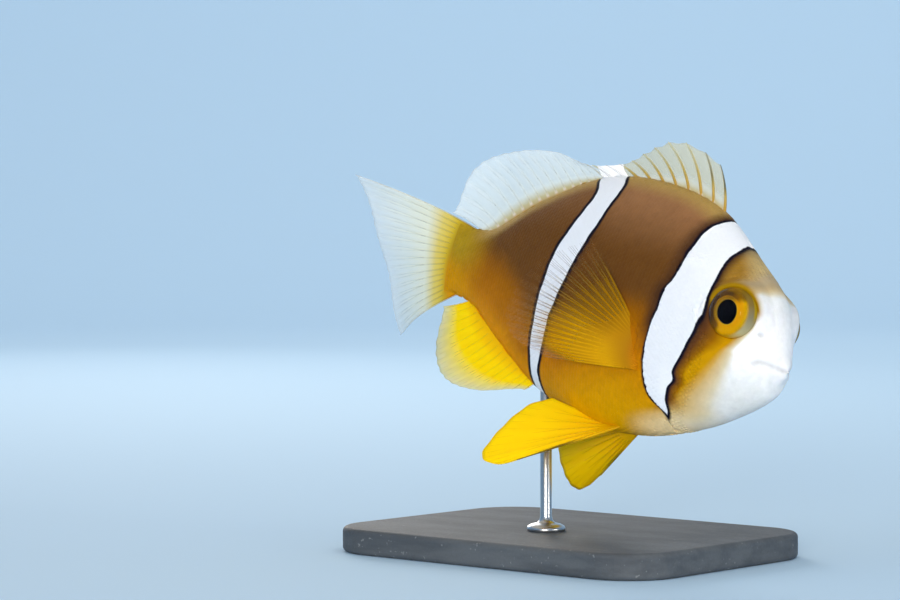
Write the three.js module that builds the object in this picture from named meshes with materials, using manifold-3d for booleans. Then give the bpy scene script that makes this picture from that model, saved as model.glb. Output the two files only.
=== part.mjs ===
// Clownfish (two-banded anemonefish), a still, life-size display model on a plain stand.
// Millimetres, +Z up. The fish is shaped in a frame of its own, with the snout at the origin,
// +X forward, +Y to its left and +Z up its back, and is then pitched nose-down and banked.
// Shapes of the fish are given as shares of BODY_LENGTH: how far back, to the side and up.

import * as THREE from 'three';
import { mergeVertices } from 'three/addons/utils/BufferGeometryUtils.js';
import Module from 'manifold-3d';

const wasm = await Module();
wasm.setup();

// ---- Driving dimensions ----
const BODY_LENGTH = 70;            // snout to the end of the tail stalk
const GAP = 0.3;                   // clearance between neighbouring pieces
const PITCH_DOWN = 12.0;           // degrees, nose below the tail
const BANK_LEFT = 13.46;           // degrees, left side lower
const SNOUT_AT = [44.25, -1.0, 31.9];

const BODY_SIDES = 30;             // facets round the body
const BODY_RINGS_PER_STATION = 3;
const FIN_THICKNESS = 0.6;
const FIN_ROOT_DEPTH = 0.012;      // how deep a fin's rays start inside the body
const FIN_STEPS = 6;               // facets along a ray
const MERGE_DISTANCE = 1e-4;
const RIDGE_SEARCH_STEPS = 30;      // halvings when looking up the back or belly line
const CUT_EDGE_STEPS = 10;         // straight pieces in a curved cut

const EYE_CENTRE = { back: 0.132, side: 0.072, up: 0.055 };
const EYE_RADIUS = 4.25;
const EYE_DEPTH_RADIUS = 3.3;      // across the head, flatter than it is wide
const EYE_FACETS = [20, 12];

const BASE_SIZE = { x: 64, y: 46, z: 4 };
const BASE_CORNER = 9;
const BASE_BEVEL = 0.8;
const BASE_BEVEL_STEPS = 2;
const BASE_CORNER_STEPS = 6;
const ROD_RADIUS = 0.9;
const ROD_FOOT_RADIUS = 3;
const ROD_FOOT_HEIGHT = 1.2;
const ROD_FOOT_TOP_RADIUS = 2.4;
const ROD_UNDER = { back: 0.605, up: -0.232 };
const ROD_SIDES = 20;

// ---- The body's cross-sections, from snout to tail ----
// [top back, top up, bottom back, bottom up, half width, level of the widest line,
//  sharpness of the back's ridge, sharpness of the belly's ridge]
const STATIONS = [
  [0.007, -0.030, 0.007, -0.030, 0.000, 0.00, 1.00, 1.00],
  [0.026, 0.006, 0.024, -0.063, 0.027, 0.00, 1.00, 1.00],
  [0.047, 0.057, 0.034, -0.097, 0.050, 0.00, 1.00, 1.00],
  [0.084, 0.123, 0.090, -0.144, 0.088, 0.00, 1.00, 1.00],
  [0.165, 0.182, 0.175, -0.198, 0.104, 0.02, 1.00, 1.00],
  [0.300, 0.268, 0.310, -0.249, 0.116, -0.02, 1.05, 0.95],
  [0.460, 0.293, 0.460, -0.262, 0.108, -0.05, 1.15, 0.95],
  [0.620, 0.272, 0.620, -0.228, 0.086, -0.05, 1.20, 1.00],
  [0.770, 0.190, 0.770, -0.158, 0.057, -0.02, 1.15, 1.10],
  [0.890, 0.098, 0.890, -0.092, 0.034, 0.00, 1.05, 1.05],
  [0.960, 0.080, 0.960, -0.078, 0.022, 0.00, 1.00, 1.00],
  [1.000, 0.086, 1.000, -0.084, 0.016, 0.00, 1.00, 1.00],
];
const [TOP_BACK, TOP_UP, BOTTOM_BACK, BOTTOM_UP] = [0, 1, 2, 3];

// The tail swings a little to the left, and its fin is twisted so that the upper lobe
// comes out to the right and the lower lobe to the left.
const SWING_FROM = 0.55;
const SWING = 0.025;
const TWIST_FROM = 0.90;
const TWIST_FULL = 1.20;
const TWIST = -0.70;
const TWIST_LEVEL = -0.04;

// ---- Fins: length and lean of the rays at even steps along the base ----
const SPINY_DORSAL = {
  from: 0.290, to: 0.600, rays: 10, up: 1,
  length: [0.106, 0.133, 0.101, 0.068, 0.062], lean: [26, 39, 53, 69, 74], bow: 0.28,
};
const SOFT_DORSAL = {
  from: 0.620, to: 0.920, rays: 16, up: 1,
  length: [0.075, 0.118, 0.168, 0.175, 0.100], lean: [72, 59, 60, 63, 76], bow: 0.17,
};
const ANAL = {
  from: 0.640, to: 0.900, rays: 15, up: -1,
  length: [0.030, 0.127, 0.172, 0.168, 0.085], lean: [48, 48, 48, 56, 68], bow: 0.17,
};
const TAIL_FIN = {
  rays: 15, rootUp: [0.080, -0.076], rootBack: 0.975, rootBulge: 0.030,
  tips: [[1.285, 0.120], [1.255, 0.045], [1.245, -0.045], [1.235, -0.130], [1.225, -0.208]],
  bow: 0.03,
};
// Paired fins: root line and the rays' reach, as [back, side, up].
// The pelvic fins are held a little differently, as in life.
const PELVIC_RIGHT = {
  rays: 8, root: [[0.366, 0.034, -0.2475], [0.392, 0.020, -0.2510]], bow: [0, 0, 0],
  reach: [[0.139, 0.118, -0.131], [0.168, 0.136, -0.154], [0.199, 0.151, -0.156], [0.214, 0.143, -0.138],
    [0.211, 0.119, -0.094], [0.202, 0.091, -0.050], [0.185, 0.063, -0.011], [0.151, 0.035, 0.017]],
};
const PELVIC_LEFT = {
  rays: 8, root: [[0.352, 0.022, -0.2525], [0.378, 0.012, -0.2540]], bow: [0, 0, 0],
  reach: [[0.152, 0.130, -0.124], [0.182, 0.147, -0.144], [0.208, 0.156, -0.163], [0.223, 0.148, -0.160],
    [0.231, 0.134, -0.144], [0.239, 0.117, -0.117], [0.240, 0.102, -0.088], [0.227, 0.088, -0.067]],
};
const PECTORAL = {
  rays: 13, root: [[0.345, 0.110, -0.036], [0.331, 0.110, -0.122]], bow: [0, -0.048, 0],
  reach: [[0.147, 0.055, 0.156], [0.236, 0.086, 0.102], [0.271, 0.112, 0.022],
    [0.252, 0.097, -0.028], [0.170, 0.068, -0.031]],
};
const PECTORAL_ROOT_DEPTH = 0.02;

// ---- Where the body is parted, as [back, up] from the back down to the belly ----
const GILL_EDGE = [
  [0.235, 0.32], [0.282, 0.15], [0.304, -0.02], [0.292, -0.13], [0.235, -0.20], [0.17, -0.32],
];
const STALK_FROM = 0.80;
const PREOPERCLE_EDGE = [[0.235, 0.125], [0.198, 0.06], [0.196, -0.04], [0.208, -0.12], [0.238, -0.165]];
const GILL_COVER_DEPTH = 0.05;     // inner face of the gill covers, from the middle plane
const GILL_COVER_OVERRUN = 0.05;   // past the gill edge, where the head's own end trims it
const GILL_COVER_MIDDLE = [0.25, -0.02];
const GILL_COVER_HALF_SIZE = [0.05, 0.145];
const MOUTH_CORNER = [0.068, -0.050];
const MOUTH_LIP = -0.031;
const LIP_BACK = 0.03;
const JAW_BACK = [0.105, -0.30];
const AHEAD = -0.1;                // beyond the snout
const BEHIND = 1.1;                // beyond the tail stalk
const ACROSS = 0.4;                // beyond either flank, the back and the belly

const ROUGHNESS = { skin: 0.45, eye: 0.1, slate: 0.5, steel: 0.3 };
const COLOUR = {
  brown: 0x70482a, white: 0xf0f0f2, amber: 0xc08a14, yellow: 0xf0c80a,
  clear: 0xe4ecec, gold: 0x8a6010, slate: 0x5a6068, steel: 0xb8bcc0,
};

// ---- Small tools ----
const place = (back, side, up) => new THREE.Vector3(-back, side, up).multiplyScalar(BODY_LENGTH);
const clamp = (value, low, high) => Math.min(Math.max(value, low), high);

function catmullRom(t, a, b, c, d) {
  const m0 = (c - a) / 2;
  const m1 = (d - b) / 2;
  return ((2 * b - 2 * c + m0 + m1) * t + (3 * c - 3 * b - 2 * m0 - m1)) * t * t + m0 * t + b;
}

// A smooth curve through evenly spaced values; t runs from 0 at the first to 1 at the last.
function spline(values, t) {
  const last = values.length - 1;
  const x = clamp(t, 0, 1) * last;
  const i = Math.min(Math.floor(x), last - 1);
  const value = (k) => values[clamp(k, 0, last)];
  const mix = (a, b, c, d) => catmullRom(x - i, a, b, c, d);
  const four = [value(i - 1), value(i), value(i + 1), value(i + 2)];
  if (!Array.isArray(four[0])) return mix(...four);
  return four[0].map((_, k) => mix(...four.map((point) => point[k])));
}

function closedGeometry(points, triangles) {
  const geometry = new THREE.BufferGeometry();
  const numbers = points.flatMap((point) => point.toArray());
  geometry.setAttribute('position', new THREE.Float32BufferAttribute(numbers, 3));
  geometry.setIndex(triangles.flat());
  return signedVolume(geometry) < 0 ? turnedInsideOut(geometry) : geometry;
}

function signedVolume(geometry) {
  const position = geometry.getAttribute('position');
  const corner = (k) => new THREE.Vector3().fromBufferAttribute(position, geometry.index.getX(k));
  let sum = 0;
  for (let k = 0; k < geometry.index.count; k += 3) {
    sum += corner(k).dot(corner(k + 1).cross(corner(k + 2)));
  }
  return sum / 6;
}

function turnedInsideOut(geometry) {
  const index = Array.from(geometry.index.array);
  for (let k = 0; k < index.length; k += 3) {
    [index[k], index[k + 1]] = [index[k + 1], index[k]];
  }
  geometry.setIndex(index);
  return geometry;
}

// Grown outwards along the vertex normals.
function grown(geometry, distance) {
  const copy = geometry.clone();
  copy.computeVertexNormals();
  const position = copy.getAttribute('position');
  const normal = copy.getAttribute('normal');
  for (let k = 0; k < position.count; k += 1) {
    const point = new THREE.Vector3().fromBufferAttribute(position, k);
    point.addScaledVector(new THREE.Vector3().fromBufferAttribute(normal, k), distance);
    position.setXYZ(k, point.x, point.y, point.z);
  }
  return copy;
}

// ---- Solids for cutting and joining ----
function toSolid(geometry) {
  const bare = geometry.clone();
  bare.deleteAttribute('normal');
  bare.deleteAttribute('uv');
  const merged = mergeVertices(bare, MERGE_DISTANCE);
  const index = merged.index.array;
  const triangles = [];
  for (let k = 0; k < index.length; k += 3) {
    const corners = index.slice(k, k + 3);
    if (new Set(corners).size === 3) triangles.push(...corners);
  }
  return new wasm.Manifold(new wasm.Mesh({
    numProp: 3,
    vertProperties: merged.getAttribute('position').array,
    triVerts: new Uint32Array(triangles),
  }));
}

function toGeometry(solid) {
  const { vertProperties, triVerts, numProp } = solid.getMesh();
  const geometry = new THREE.BufferGeometry();
  const points = [];
  for (let k = 0; k < vertProperties.length; k += numProp) {
    points.push(vertProperties[k], vertProperties[k + 1], vertProperties[k + 2]);
  }
  geometry.setAttribute('position', new THREE.Float32BufferAttribute(points, 3));
  geometry.setIndex(Array.from(triVerts));
  return geometry;
}

// ---- The body ----
function sidewaysShift(back, up) {
  const swung = Math.max(back - SWING_FROM, 0) / (1 - SWING_FROM);
  const t = Math.max((back - TWIST_FROM) / (TWIST_FULL - TWIST_FROM), 0);
  const turned = t < 1 ? t * t * (1.5 - 0.5 * t) : t;
  return SWING * swung * swung + TWIST * turned * (up - TWIST_LEVEL);
}

// A point of the skin: how far along the stations (0 to 1), and the angle round from the back.
function skinPoint(along, angle) {
  const station = spline(STATIONS, along);
  const [topBack, topUp, bottomBack, bottomUp, halfWidth, level, ridgeTop, ridgeBottom] = station;
  const across = Math.abs(Math.sin(angle));
  const share = (Math.cos(angle) + level * across * across + 1) / 2;
  const back = bottomBack + (topBack - bottomBack) * share;
  const up = bottomUp + (topUp - bottomUp) * share;
  const sharpness = Math.cos(angle) > 0 ? ridgeTop : ridgeBottom;
  const side = halfWidth * across ** sharpness * Math.sign(Math.sin(angle));
  return place(back, side + sidewaysShift(back, up), up);
}

function bodyGeometry() {
  const rings = (STATIONS.length - 1) * BODY_RINGS_PER_STATION;
  const points = [skinPoint(0, 0)];
  for (let ring = 1; ring <= rings; ring += 1) {
    for (let side = 0; side < BODY_SIDES; side += 1) {
      points.push(skinPoint(ring / rings, (2 * Math.PI * side) / BODY_SIDES));
    }
  }
  const tailEnd = points.length;
  points.push(place(1, sidewaysShift(1, 0), 0));
  const triangles = [];
  for (let side = 0; side < BODY_SIDES; side += 1) {
    const next = (side + 1) % BODY_SIDES;
    triangles.push([0, 1 + next, 1 + side]);
    for (let ring = 0; ring < rings - 1; ring += 1) {
      const here = 1 + ring * BODY_SIDES;
      const after = here + BODY_SIDES;
      triangles.push([here + side, here + next, after + side], [here + next, after + next, after + side]);
    }
    const lastRing = tailEnd - BODY_SIDES;
    triangles.push([lastRing + side, lastRing + next, tailEnd]);
  }
  return closedGeometry(points, triangles);
}

// Height of the back (or belly) line at a given distance back.
function ridgeUp(back, isTop) {
  const [alongIndex, upIndex] = isTop ? [TOP_BACK, TOP_UP] : [BOTTOM_BACK, BOTTOM_UP];
  let low = 0;
  let high = 1;
  for (let step = 0; step < RIDGE_SEARCH_STEPS; step += 1) {
    const middle = (low + high) / 2;
    if (spline(STATIONS, middle)[alongIndex] < back) low = middle;
    else high = middle;
  }
  return spline(STATIONS, low)[upIndex];
}

// ---- Fins, as grids of points: one row for each ray, from root to tip ----
function rayGrid(rays, pointOnRay) {
  return Array.from({ length: rays }, (_, ray) => (
    Array.from({ length: FIN_STEPS + 1 }, (__, step) => pointOnRay(ray / (rays - 1), step / FIN_STEPS))
  ));
}

function medianFinGrid({ from, to, rays, up, length, lean, bow }) {
  return rayGrid(rays, (t, v) => {
    const rootBack = from + (to - from) * t;
    const angle = THREE.MathUtils.degToRad(spline(lean, t));
    const reach = spline(length, t) + FIN_ROOT_DEPTH;
    const out = reach * v;
    const bent = bow * reach * (v * v - v);
    const back = rootBack + out * Math.sin(angle) + bent * Math.cos(angle);
    const rise = out * Math.cos(angle) - bent * Math.sin(angle) - FIN_ROOT_DEPTH;
    const height = ridgeUp(rootBack, up > 0) + up * rise;
    return place(back, sidewaysShift(back, height), height);
  });
}

function tailFinGrid({ rays, rootUp, rootBack, rootBulge, tips, bow }) {
  return rayGrid(rays, (t, v) => {
    const across = 2 * t - 1;
    const startBack = rootBack + rootBulge * (1 - across * across);
    const startUp = rootUp[0] + (rootUp[1] - rootUp[0]) * t;
    const [tipBack, tipUp] = spline(tips, t);
    const back = startBack + (tipBack - startBack) * v;
    const up = startUp + (tipUp - startUp) * v - bow * across * (v - v * v);
    return place(back, sidewaysShift(back, up), up);
  });
}

function pairedFinGrid({ rays, root, reach, bow }, side, rootDepth) {
  return rayGrid(rays, (t, v) => {
    const start = root[0].map((first, k) => first + (root[1][k] - first) * t);
    const out = spline(reach, t);
    const v1 = v * (1 + rootDepth / Math.hypot(...out)) - rootDepth / Math.hypot(...out);
    const [back, aside, up] = start.map((s, k) => s + out[k] * v1 + bow[k] * (v - v * v));
    return place(back, side * aside, up);
  });
}

// A thin plate over a grid of points.
function plate(grid) {
  const rows = grid.length;
  const columns = grid[0].length;
  const at = (i, j) => grid[clamp(i, 0, rows - 1)][clamp(j, 0, columns - 1)];
  const faces = [[], []];
  for (let i = 0; i < rows; i += 1) {
    for (let j = 0; j < columns; j += 1) {
      const acrossRays = at(i + 1, j).clone().sub(at(i - 1, j));
      const alongRay = at(i, j + 1).clone().sub(at(i, j - 1));
      const normal = acrossRays.cross(alongRay).normalize().multiplyScalar(FIN_THICKNESS / 2);
      faces[0].push(at(i, j).clone().add(normal));
      faces[1].push(at(i, j).clone().sub(normal));
    }
  }
  const other = rows * columns;
  const number = (i, j) => i * columns + j;
  const triangles = [];
  const quad = (a, b, c, d) => triangles.push([a, b, c], [a, c, d]);
  for (let i = 0; i < rows - 1; i += 1) {
    for (let j = 0; j < columns - 1; j += 1) {
      const [a, b, c, d] = [number(i, j), number(i + 1, j), number(i + 1, j + 1), number(i, j + 1)];
      quad(a, b, c, d);
      quad(other + d, other + c, other + b, other + a);
    }
  }
  const rim = [];
  for (let i = 0; i < rows - 1; i += 1) rim.push(number(i, 0));
  for (let j = 0; j < columns - 1; j += 1) rim.push(number(rows - 1, j));
  for (let i = rows - 1; i > 0; i -= 1) rim.push(number(i, columns - 1));
  for (let j = columns - 1; j > 0; j -= 1) rim.push(number(0, j));
  rim.forEach((from, k) => {
    const to = rim[(k + 1) % rim.length];
    quad(from, other + from, other + to, to);
  });
  return closedGeometry([...faces[0], ...faces[1]], triangles);
}

// ---- Cutting blocks: a side-view outline carried right across the fish ----
function block(outline, nearSide = -ACROSS, farSide = ACROSS) {
  const corners = outline.map(([back, up]) => new THREE.Vector2(-back, up).multiplyScalar(BODY_LENGTH));
  const shape = new THREE.Shape(corners);
  const depth = (farSide - nearSide) * BODY_LENGTH;
  const geometry = new THREE.ExtrudeGeometry(shape, { depth, bevelEnabled: false });
  geometry.rotateX(Math.PI / 2);
  geometry.translate(0, farSide * BODY_LENGTH, 0);
  return toSolid(geometry);
}

function smoothEdge(points) {
  return Array.from({ length: CUT_EDGE_STEPS + 1 }, (_, k) => spline(points, k / CUT_EDGE_STEPS));
}

// The outline between two edges that both run from the back down to the belly.
const between = (front, rear) => [...front, ...[...rear].reverse()];
const moved = (edge, distance) => edge.map(([back, up]) => [back + distance / BODY_LENGTH, up]);
const upright = (back) => [[back, ACROSS], [back, -ACROSS]];

// ---- Parts of the body ----
const body = toSolid(bodyGeometry());
const bodyClearance = toSolid(grown(bodyGeometry(), GAP));

const gillEdge = smoothEdge(GILL_EDGE);
const headBlock = block(between(upright(AHEAD), moved(gillEdge, -GAP / 2)));
const trunkBlock = block(between(moved(gillEdge, GAP / 2), moved(upright(STALK_FROM), -GAP / 2)));
const stalkBlock = block(between(moved(upright(STALK_FROM), GAP / 2), upright(BEHIND)));

// The gill cover runs from the preopercle back past the gill edge, between two levels.
const gillCoverRear = moved(gillEdge, GILL_COVER_OVERRUN * BODY_LENGTH);
const gillCoverOutline = between(
  smoothEdge(PREOPERCLE_EDGE),
  gillCoverRear.filter(([, up]) => up < PREOPERCLE_EDGE[0][1] && up > PREOPERCLE_EDGE.at(-1)[1]),
);
// Widened all round by a distance, away from the outline's middle.
function gillCoverBlock(side, wider) {
  const [middleBack, middleUp] = GILL_COVER_MIDDLE;
  const [halfBack, halfUp] = GILL_COVER_HALF_SIZE;
  const share = wider / BODY_LENGTH;
  const outline = gillCoverOutline.map(([back, up]) => [
    middleBack + (back - middleBack) * (1 + share / halfBack),
    middleUp + (up - middleUp) * (1 + share / halfUp),
  ]);
  const inner = GILL_COVER_DEPTH - share;
  return side < 0 ? block(outline, -ACROSS, -inner) : block(outline, inner, ACROSS);
}

function jawBlock(inset) {
  const drop = inset / BODY_LENGTH;
  return block([
    [AHEAD, MOUTH_LIP - drop], [LIP_BACK, MOUTH_LIP - drop],
    [MOUTH_CORNER[0] - drop, MOUTH_CORNER[1] - drop],
    [JAW_BACK[0] - drop, JAW_BACK[1]], [AHEAD, JAW_BACK[1]],
  ]);
}

function eyeGeometry(side, extra) {
  const geometry = new THREE.SphereGeometry(1, ...EYE_FACETS);
  geometry.scale(EYE_RADIUS + extra, EYE_RADIUS + extra, EYE_DEPTH_RADIUS + extra);
  geometry.rotateX(Math.PI / 2);
  const centre = place(EYE_CENTRE.back, side * EYE_CENTRE.side, EYE_CENTRE.up);
  geometry.translate(centre.x, centre.y, centre.z);
  return geometry;
}

const eyeSocket = (side) => toSolid(eyeGeometry(side, GAP));
const wholeHead = body.intersect(headBlock).subtract(eyeSocket(-1)).subtract(eyeSocket(1));
const headParts = {
  head: wholeHead.subtract(jawBlock(0)).subtract(gillCoverBlock(-1, GAP)).subtract(gillCoverBlock(1, GAP)),
  lower_jaw: wholeHead.intersect(jawBlock(GAP)),
  gill_cover_right: wholeHead.intersect(gillCoverBlock(-1, 0)),
  gill_cover_left: wholeHead.intersect(gillCoverBlock(1, 0)),
};

// ---- The scene graph ----
const part = new THREE.Group();
const pitched = new THREE.Group();
pitched.position.fromArray(SNOUT_AT);
pitched.rotation.y = THREE.MathUtils.degToRad(PITCH_DOWN);
const fish = new THREE.Group();
fish.rotation.x = -THREE.MathUtils.degToRad(BANK_LEFT);
pitched.add(fish);
part.add(pitched);

function addMesh(group, name, geometry, color, roughness = ROUGHNESS.skin, metalness = 0) {
  const mesh = new THREE.Mesh(geometry, new THREE.MeshStandardMaterial({ color, roughness, metalness }));
  mesh.name = name;
  group.add(mesh);
}

addMesh(fish, 'head', toGeometry(headParts.head), COLOUR.white);
addMesh(fish, 'lower_jaw', toGeometry(headParts.lower_jaw), COLOUR.white);
addMesh(fish, 'gill_cover_right', toGeometry(headParts.gill_cover_right), COLOUR.white);
addMesh(fish, 'gill_cover_left', toGeometry(headParts.gill_cover_left), COLOUR.white);
addMesh(fish, 'trunk', toGeometry(body.intersect(trunkBlock)), COLOUR.brown);
addMesh(fish, 'tail_stalk', toGeometry(body.intersect(stalkBlock)), COLOUR.amber);

function addFin(name, grid, color) {
  addMesh(fish, name, toGeometry(toSolid(plate(grid)).subtract(bodyClearance)), color);
}

addFin('dorsal_fin_spiny', medianFinGrid(SPINY_DORSAL), COLOUR.amber);
addFin('dorsal_fin_soft', medianFinGrid(SOFT_DORSAL), COLOUR.clear);
addFin('anal_fin', medianFinGrid(ANAL), COLOUR.yellow);
addFin('tail_fin', tailFinGrid(TAIL_FIN), COLOUR.clear);
for (const [sideName, side, pelvic] of [['right', -1, PELVIC_RIGHT], ['left', 1, PELVIC_LEFT]]) {
  addFin(`pelvic_fin_${sideName}`, pairedFinGrid(pelvic, side, FIN_ROOT_DEPTH), COLOUR.yellow);
  addFin(`pectoral_fin_${sideName}`, pairedFinGrid(PECTORAL, side, PECTORAL_ROOT_DEPTH), COLOUR.amber);
  addMesh(fish, `eye_${sideName}`, toGeometry(toSolid(eyeGeometry(side, 0))), COLOUR.gold, ROUGHNESS.eye);
}

// ---- The stand ----
function baseGeometry() {
  const { x, y, z } = BASE_SIZE;
  const halfX = x / 2 - BASE_BEVEL;
  const halfY = y / 2 - BASE_BEVEL;
  const corner = BASE_CORNER - BASE_BEVEL;
  const shape = new THREE.Shape();
  shape.moveTo(-halfX + corner, -halfY);
  shape.lineTo(halfX - corner, -halfY);
  shape.absarc(halfX - corner, -halfY + corner, corner, -Math.PI / 2, 0);
  shape.absarc(halfX - corner, halfY - corner, corner, 0, Math.PI / 2);
  shape.absarc(-halfX + corner, halfY - corner, corner, Math.PI / 2, Math.PI);
  shape.absarc(-halfX + corner, -halfY + corner, corner, Math.PI, 1.5 * Math.PI);
  const geometry = new THREE.ExtrudeGeometry(shape, {
    depth: z - 2 * BASE_BEVEL,
    bevelThickness: BASE_BEVEL,
    bevelSize: BASE_BEVEL,
    bevelSegments: BASE_BEVEL_STEPS,
    curveSegments: BASE_CORNER_STEPS,
  });
  geometry.translate(0, 0, BASE_BEVEL);
  return geometry;
}

// The rod stands upright on the base, widens into a round foot, and ends just clear of the belly.
function rodGeometry() {
  part.updateMatrixWorld(true);
  const belly = fish.localToWorld(place(ROD_UNDER.back, 0, ROD_UNDER.up));
  const foot = BASE_SIZE.z + GAP;
  const profile = [
    [0, 0], [ROD_FOOT_RADIUS, 0], [ROD_FOOT_RADIUS, ROD_FOOT_HEIGHT / 2],
    [ROD_FOOT_TOP_RADIUS, ROD_FOOT_HEIGHT], [ROD_RADIUS, ROD_FOOT_HEIGHT],
    [ROD_RADIUS, belly.z - foot + ROD_RADIUS], [0, belly.z - foot + ROD_RADIUS],
  ];
  const rod = new THREE.LatheGeometry(profile.map(([r, h]) => new THREE.Vector2(r, h)), ROD_SIDES);
  rod.rotateX(Math.PI / 2);
  rod.translate(belly.x, belly.y, foot);
  const clearance = grown(bodyGeometry(), GAP).applyMatrix4(fish.matrixWorld);
  return toGeometry(toSolid(rod).subtract(toSolid(clearance)));
}

addMesh(part, 'stand_base', toGeometry(toSolid(baseGeometry())), COLOUR.slate, ROUGHNESS.slate);
addMesh(part, 'stand_rod', rodGeometry(), COLOUR.steel, ROUGHNESS.steel, 1);

export default part;
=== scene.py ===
"""A still, life-size clownfish with two white bars, on a plain display stand.

The fish is shaped in a frame of its own, set at a slant in the packed frame. Its places are shares of
the body's length, as [back, side, up]: back from the snout, side to its left, up towards its back.
"""

import math
from functools import partial

import bpy
import numpy as np
from bpy.props import FloatProperty, FloatVectorProperty, IntProperty, PointerProperty
from mathutils import Euler, Matrix, Vector


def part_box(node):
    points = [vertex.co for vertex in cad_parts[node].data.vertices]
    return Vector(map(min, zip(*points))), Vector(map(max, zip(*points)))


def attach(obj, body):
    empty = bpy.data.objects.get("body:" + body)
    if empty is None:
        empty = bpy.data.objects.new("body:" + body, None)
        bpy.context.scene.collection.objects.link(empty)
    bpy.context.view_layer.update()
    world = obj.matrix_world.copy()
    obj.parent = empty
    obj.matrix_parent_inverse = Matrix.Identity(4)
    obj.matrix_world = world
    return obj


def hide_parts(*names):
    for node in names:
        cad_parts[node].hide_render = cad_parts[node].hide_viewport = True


bl_info = {
    "name": "Display clownfish",
    "version": (1, 0, 0),
    "blender": (4, 5, 0),
    "location": "View3D > Sidebar > Clownfish",
    "description": "Builds a life-size clownfish with scales, rayed fins and eyes, on a plain stand",
    "category": "Add Mesh",
}

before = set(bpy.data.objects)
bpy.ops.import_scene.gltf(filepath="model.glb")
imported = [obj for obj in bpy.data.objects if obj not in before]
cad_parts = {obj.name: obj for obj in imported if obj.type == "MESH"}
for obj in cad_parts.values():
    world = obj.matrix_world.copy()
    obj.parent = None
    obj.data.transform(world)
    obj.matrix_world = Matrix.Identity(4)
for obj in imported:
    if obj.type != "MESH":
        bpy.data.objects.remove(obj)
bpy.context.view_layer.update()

MM = 0.001
BODY = "root"

# ---- The fish's own frame, placed in the packed one ----
BODY_LENGTH = 0.070
SNOUT_AT = np.array([0.04425, -0.0010, 0.0319])
BANK_LEFT = math.radians(13.46)
PITCH_DOWN = math.radians(12.0)
TURN = Euler((-BANK_LEFT, PITCH_DOWN, 0.0))
TURN_ROWS = np.array(TURN.to_matrix())

# ---- The body's cross-sections, from snout to tail ----
# [top back, top up, bottom back, bottom up, half width, level of the widest line,
#  sharpness of the back's ridge, sharpness of the belly's ridge]
STATIONS = [
    [0.007, -0.030, 0.007, -0.030, 0.000, 0.00, 1.00, 1.00],
    [0.026, 0.006, 0.024, -0.063, 0.027, 0.00, 1.00, 1.00],
    [0.047, 0.057, 0.034, -0.097, 0.050, 0.00, 1.00, 1.00],
    [0.084, 0.123, 0.090, -0.144, 0.088, 0.00, 1.00, 1.00],
    [0.165, 0.182, 0.175, -0.198, 0.104, 0.02, 1.00, 1.00],
    [0.300, 0.268, 0.310, -0.249, 0.116, -0.02, 1.05, 0.95],
    [0.460, 0.293, 0.460, -0.262, 0.108, -0.05, 1.15, 0.95],
    [0.620, 0.272, 0.620, -0.228, 0.086, -0.05, 1.20, 1.00],
    [0.770, 0.190, 0.770, -0.158, 0.057, -0.02, 1.15, 1.10],
    [0.890, 0.098, 0.890, -0.092, 0.034, 0.00, 1.05, 1.05],
    [0.960, 0.080, 0.960, -0.078, 0.022, 0.00, 1.00, 1.00],
    [1.000, 0.086, 1.000, -0.084, 0.016, 0.00, 1.00, 1.00],
]
TAIL_END = len(STATIONS) - 1
SNOUT_TIP = [0.007, 0.0, -0.030]
TIP_BLUNTED = 0.22 * MM
SKIN_START = [0.010, 0.0, -0.030]

# The tail swings a little to the left, and its fin is twisted.
SWING_FROM = 0.55
SWING = 0.025
TWIST_FROM = 0.90
TWIST_FULL = 1.20
TWIST = -0.70
TWIST_LEVEL = -0.04

# ---- Lines on the head, as [back, up] ----
GILL_EDGE = [[0.235, 0.32], [0.282, 0.15], [0.304, -0.02], [0.292, -0.13], [0.235, -0.20], [0.17, -0.32]]
PREOPERCLE_EDGE = [[0.195, 0.080], [0.186, 0.03], [0.188, -0.04], [0.202, -0.12], [0.222, -0.160]]
MOUTH_LINE = [[0.000, -0.031], [0.018, -0.030], [0.032, -0.028], [0.043, -0.028], [0.052, -0.031],
              [0.057, -0.036]]
NOSTRIL = [0.060, 0.027]
EYE_CENTRE = [0.132, 0.072, 0.055]

# ---- Eyeballs, in millimetres ----
EYE_RADIUS = 3.98
EYE_DEPTH_RADIUS = 3.30
EYE_SQUARENESS = 2.8           # 2 would be an ellipse
EYE_FORWARD = math.radians(-1.5)
EYE_DOWN = math.radians(3.0)
COLLAR_HEIGHT = 0.90           # of the skin round the ball, over its centre
COLLAR_RAISED = 0.60           # higher above and below the eye by this
COLLAR_LEAN = 0.75             # lower in front of the eye by this, and higher behind it
COLLAR_FADE = 5.6              # how far from the eye's middle the collar reaches
COLLAR_SUNK = -1.2             # height of the skin that is hidden by the ball
COLLAR_FLAT = 0.25             # how far from the ball the collar is at its full height
COLLAR_RIM_OUT = 0.35          # how far from the ball the collar's rim stands
COLLAR_RIM_WIDTH = 0.35
COLLAR_SINKS = (0.10, 0.45)    # how far inside the ball the skin starts to sink and is sunk
CORNEA_THICKNESS = 0.08
EYE_SIDES = 72
DARK_ARC_AT = math.radians(152)
PUPIL_POINT_AT = math.radians(-52)

# ---- Scales: where they start behind the bare snout, as [up, back], and what they keep clear of ----
BARE_SNOUT = [[-0.20, 0.20], [-0.10, 0.165], [0.00, 0.160], [0.10, 0.125], [0.20, 0.115]]
LAST_SCALE = 0.992
FIN_CLEARANCE = 0.9 * MM
EYE_CLEARANCE = 5.0 * MM
PLATE_CLEARANCE = 0.30 * MM
GILL_CLEARANCE = 0.45 * MM
MOST_ROWS = 90                 # on one side of a column
ROW_WANDER = 0.06              # of the gap between rows
SCALE_TOP = 0.88               # width of a scale's flat top, as a share of the scale

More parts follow.
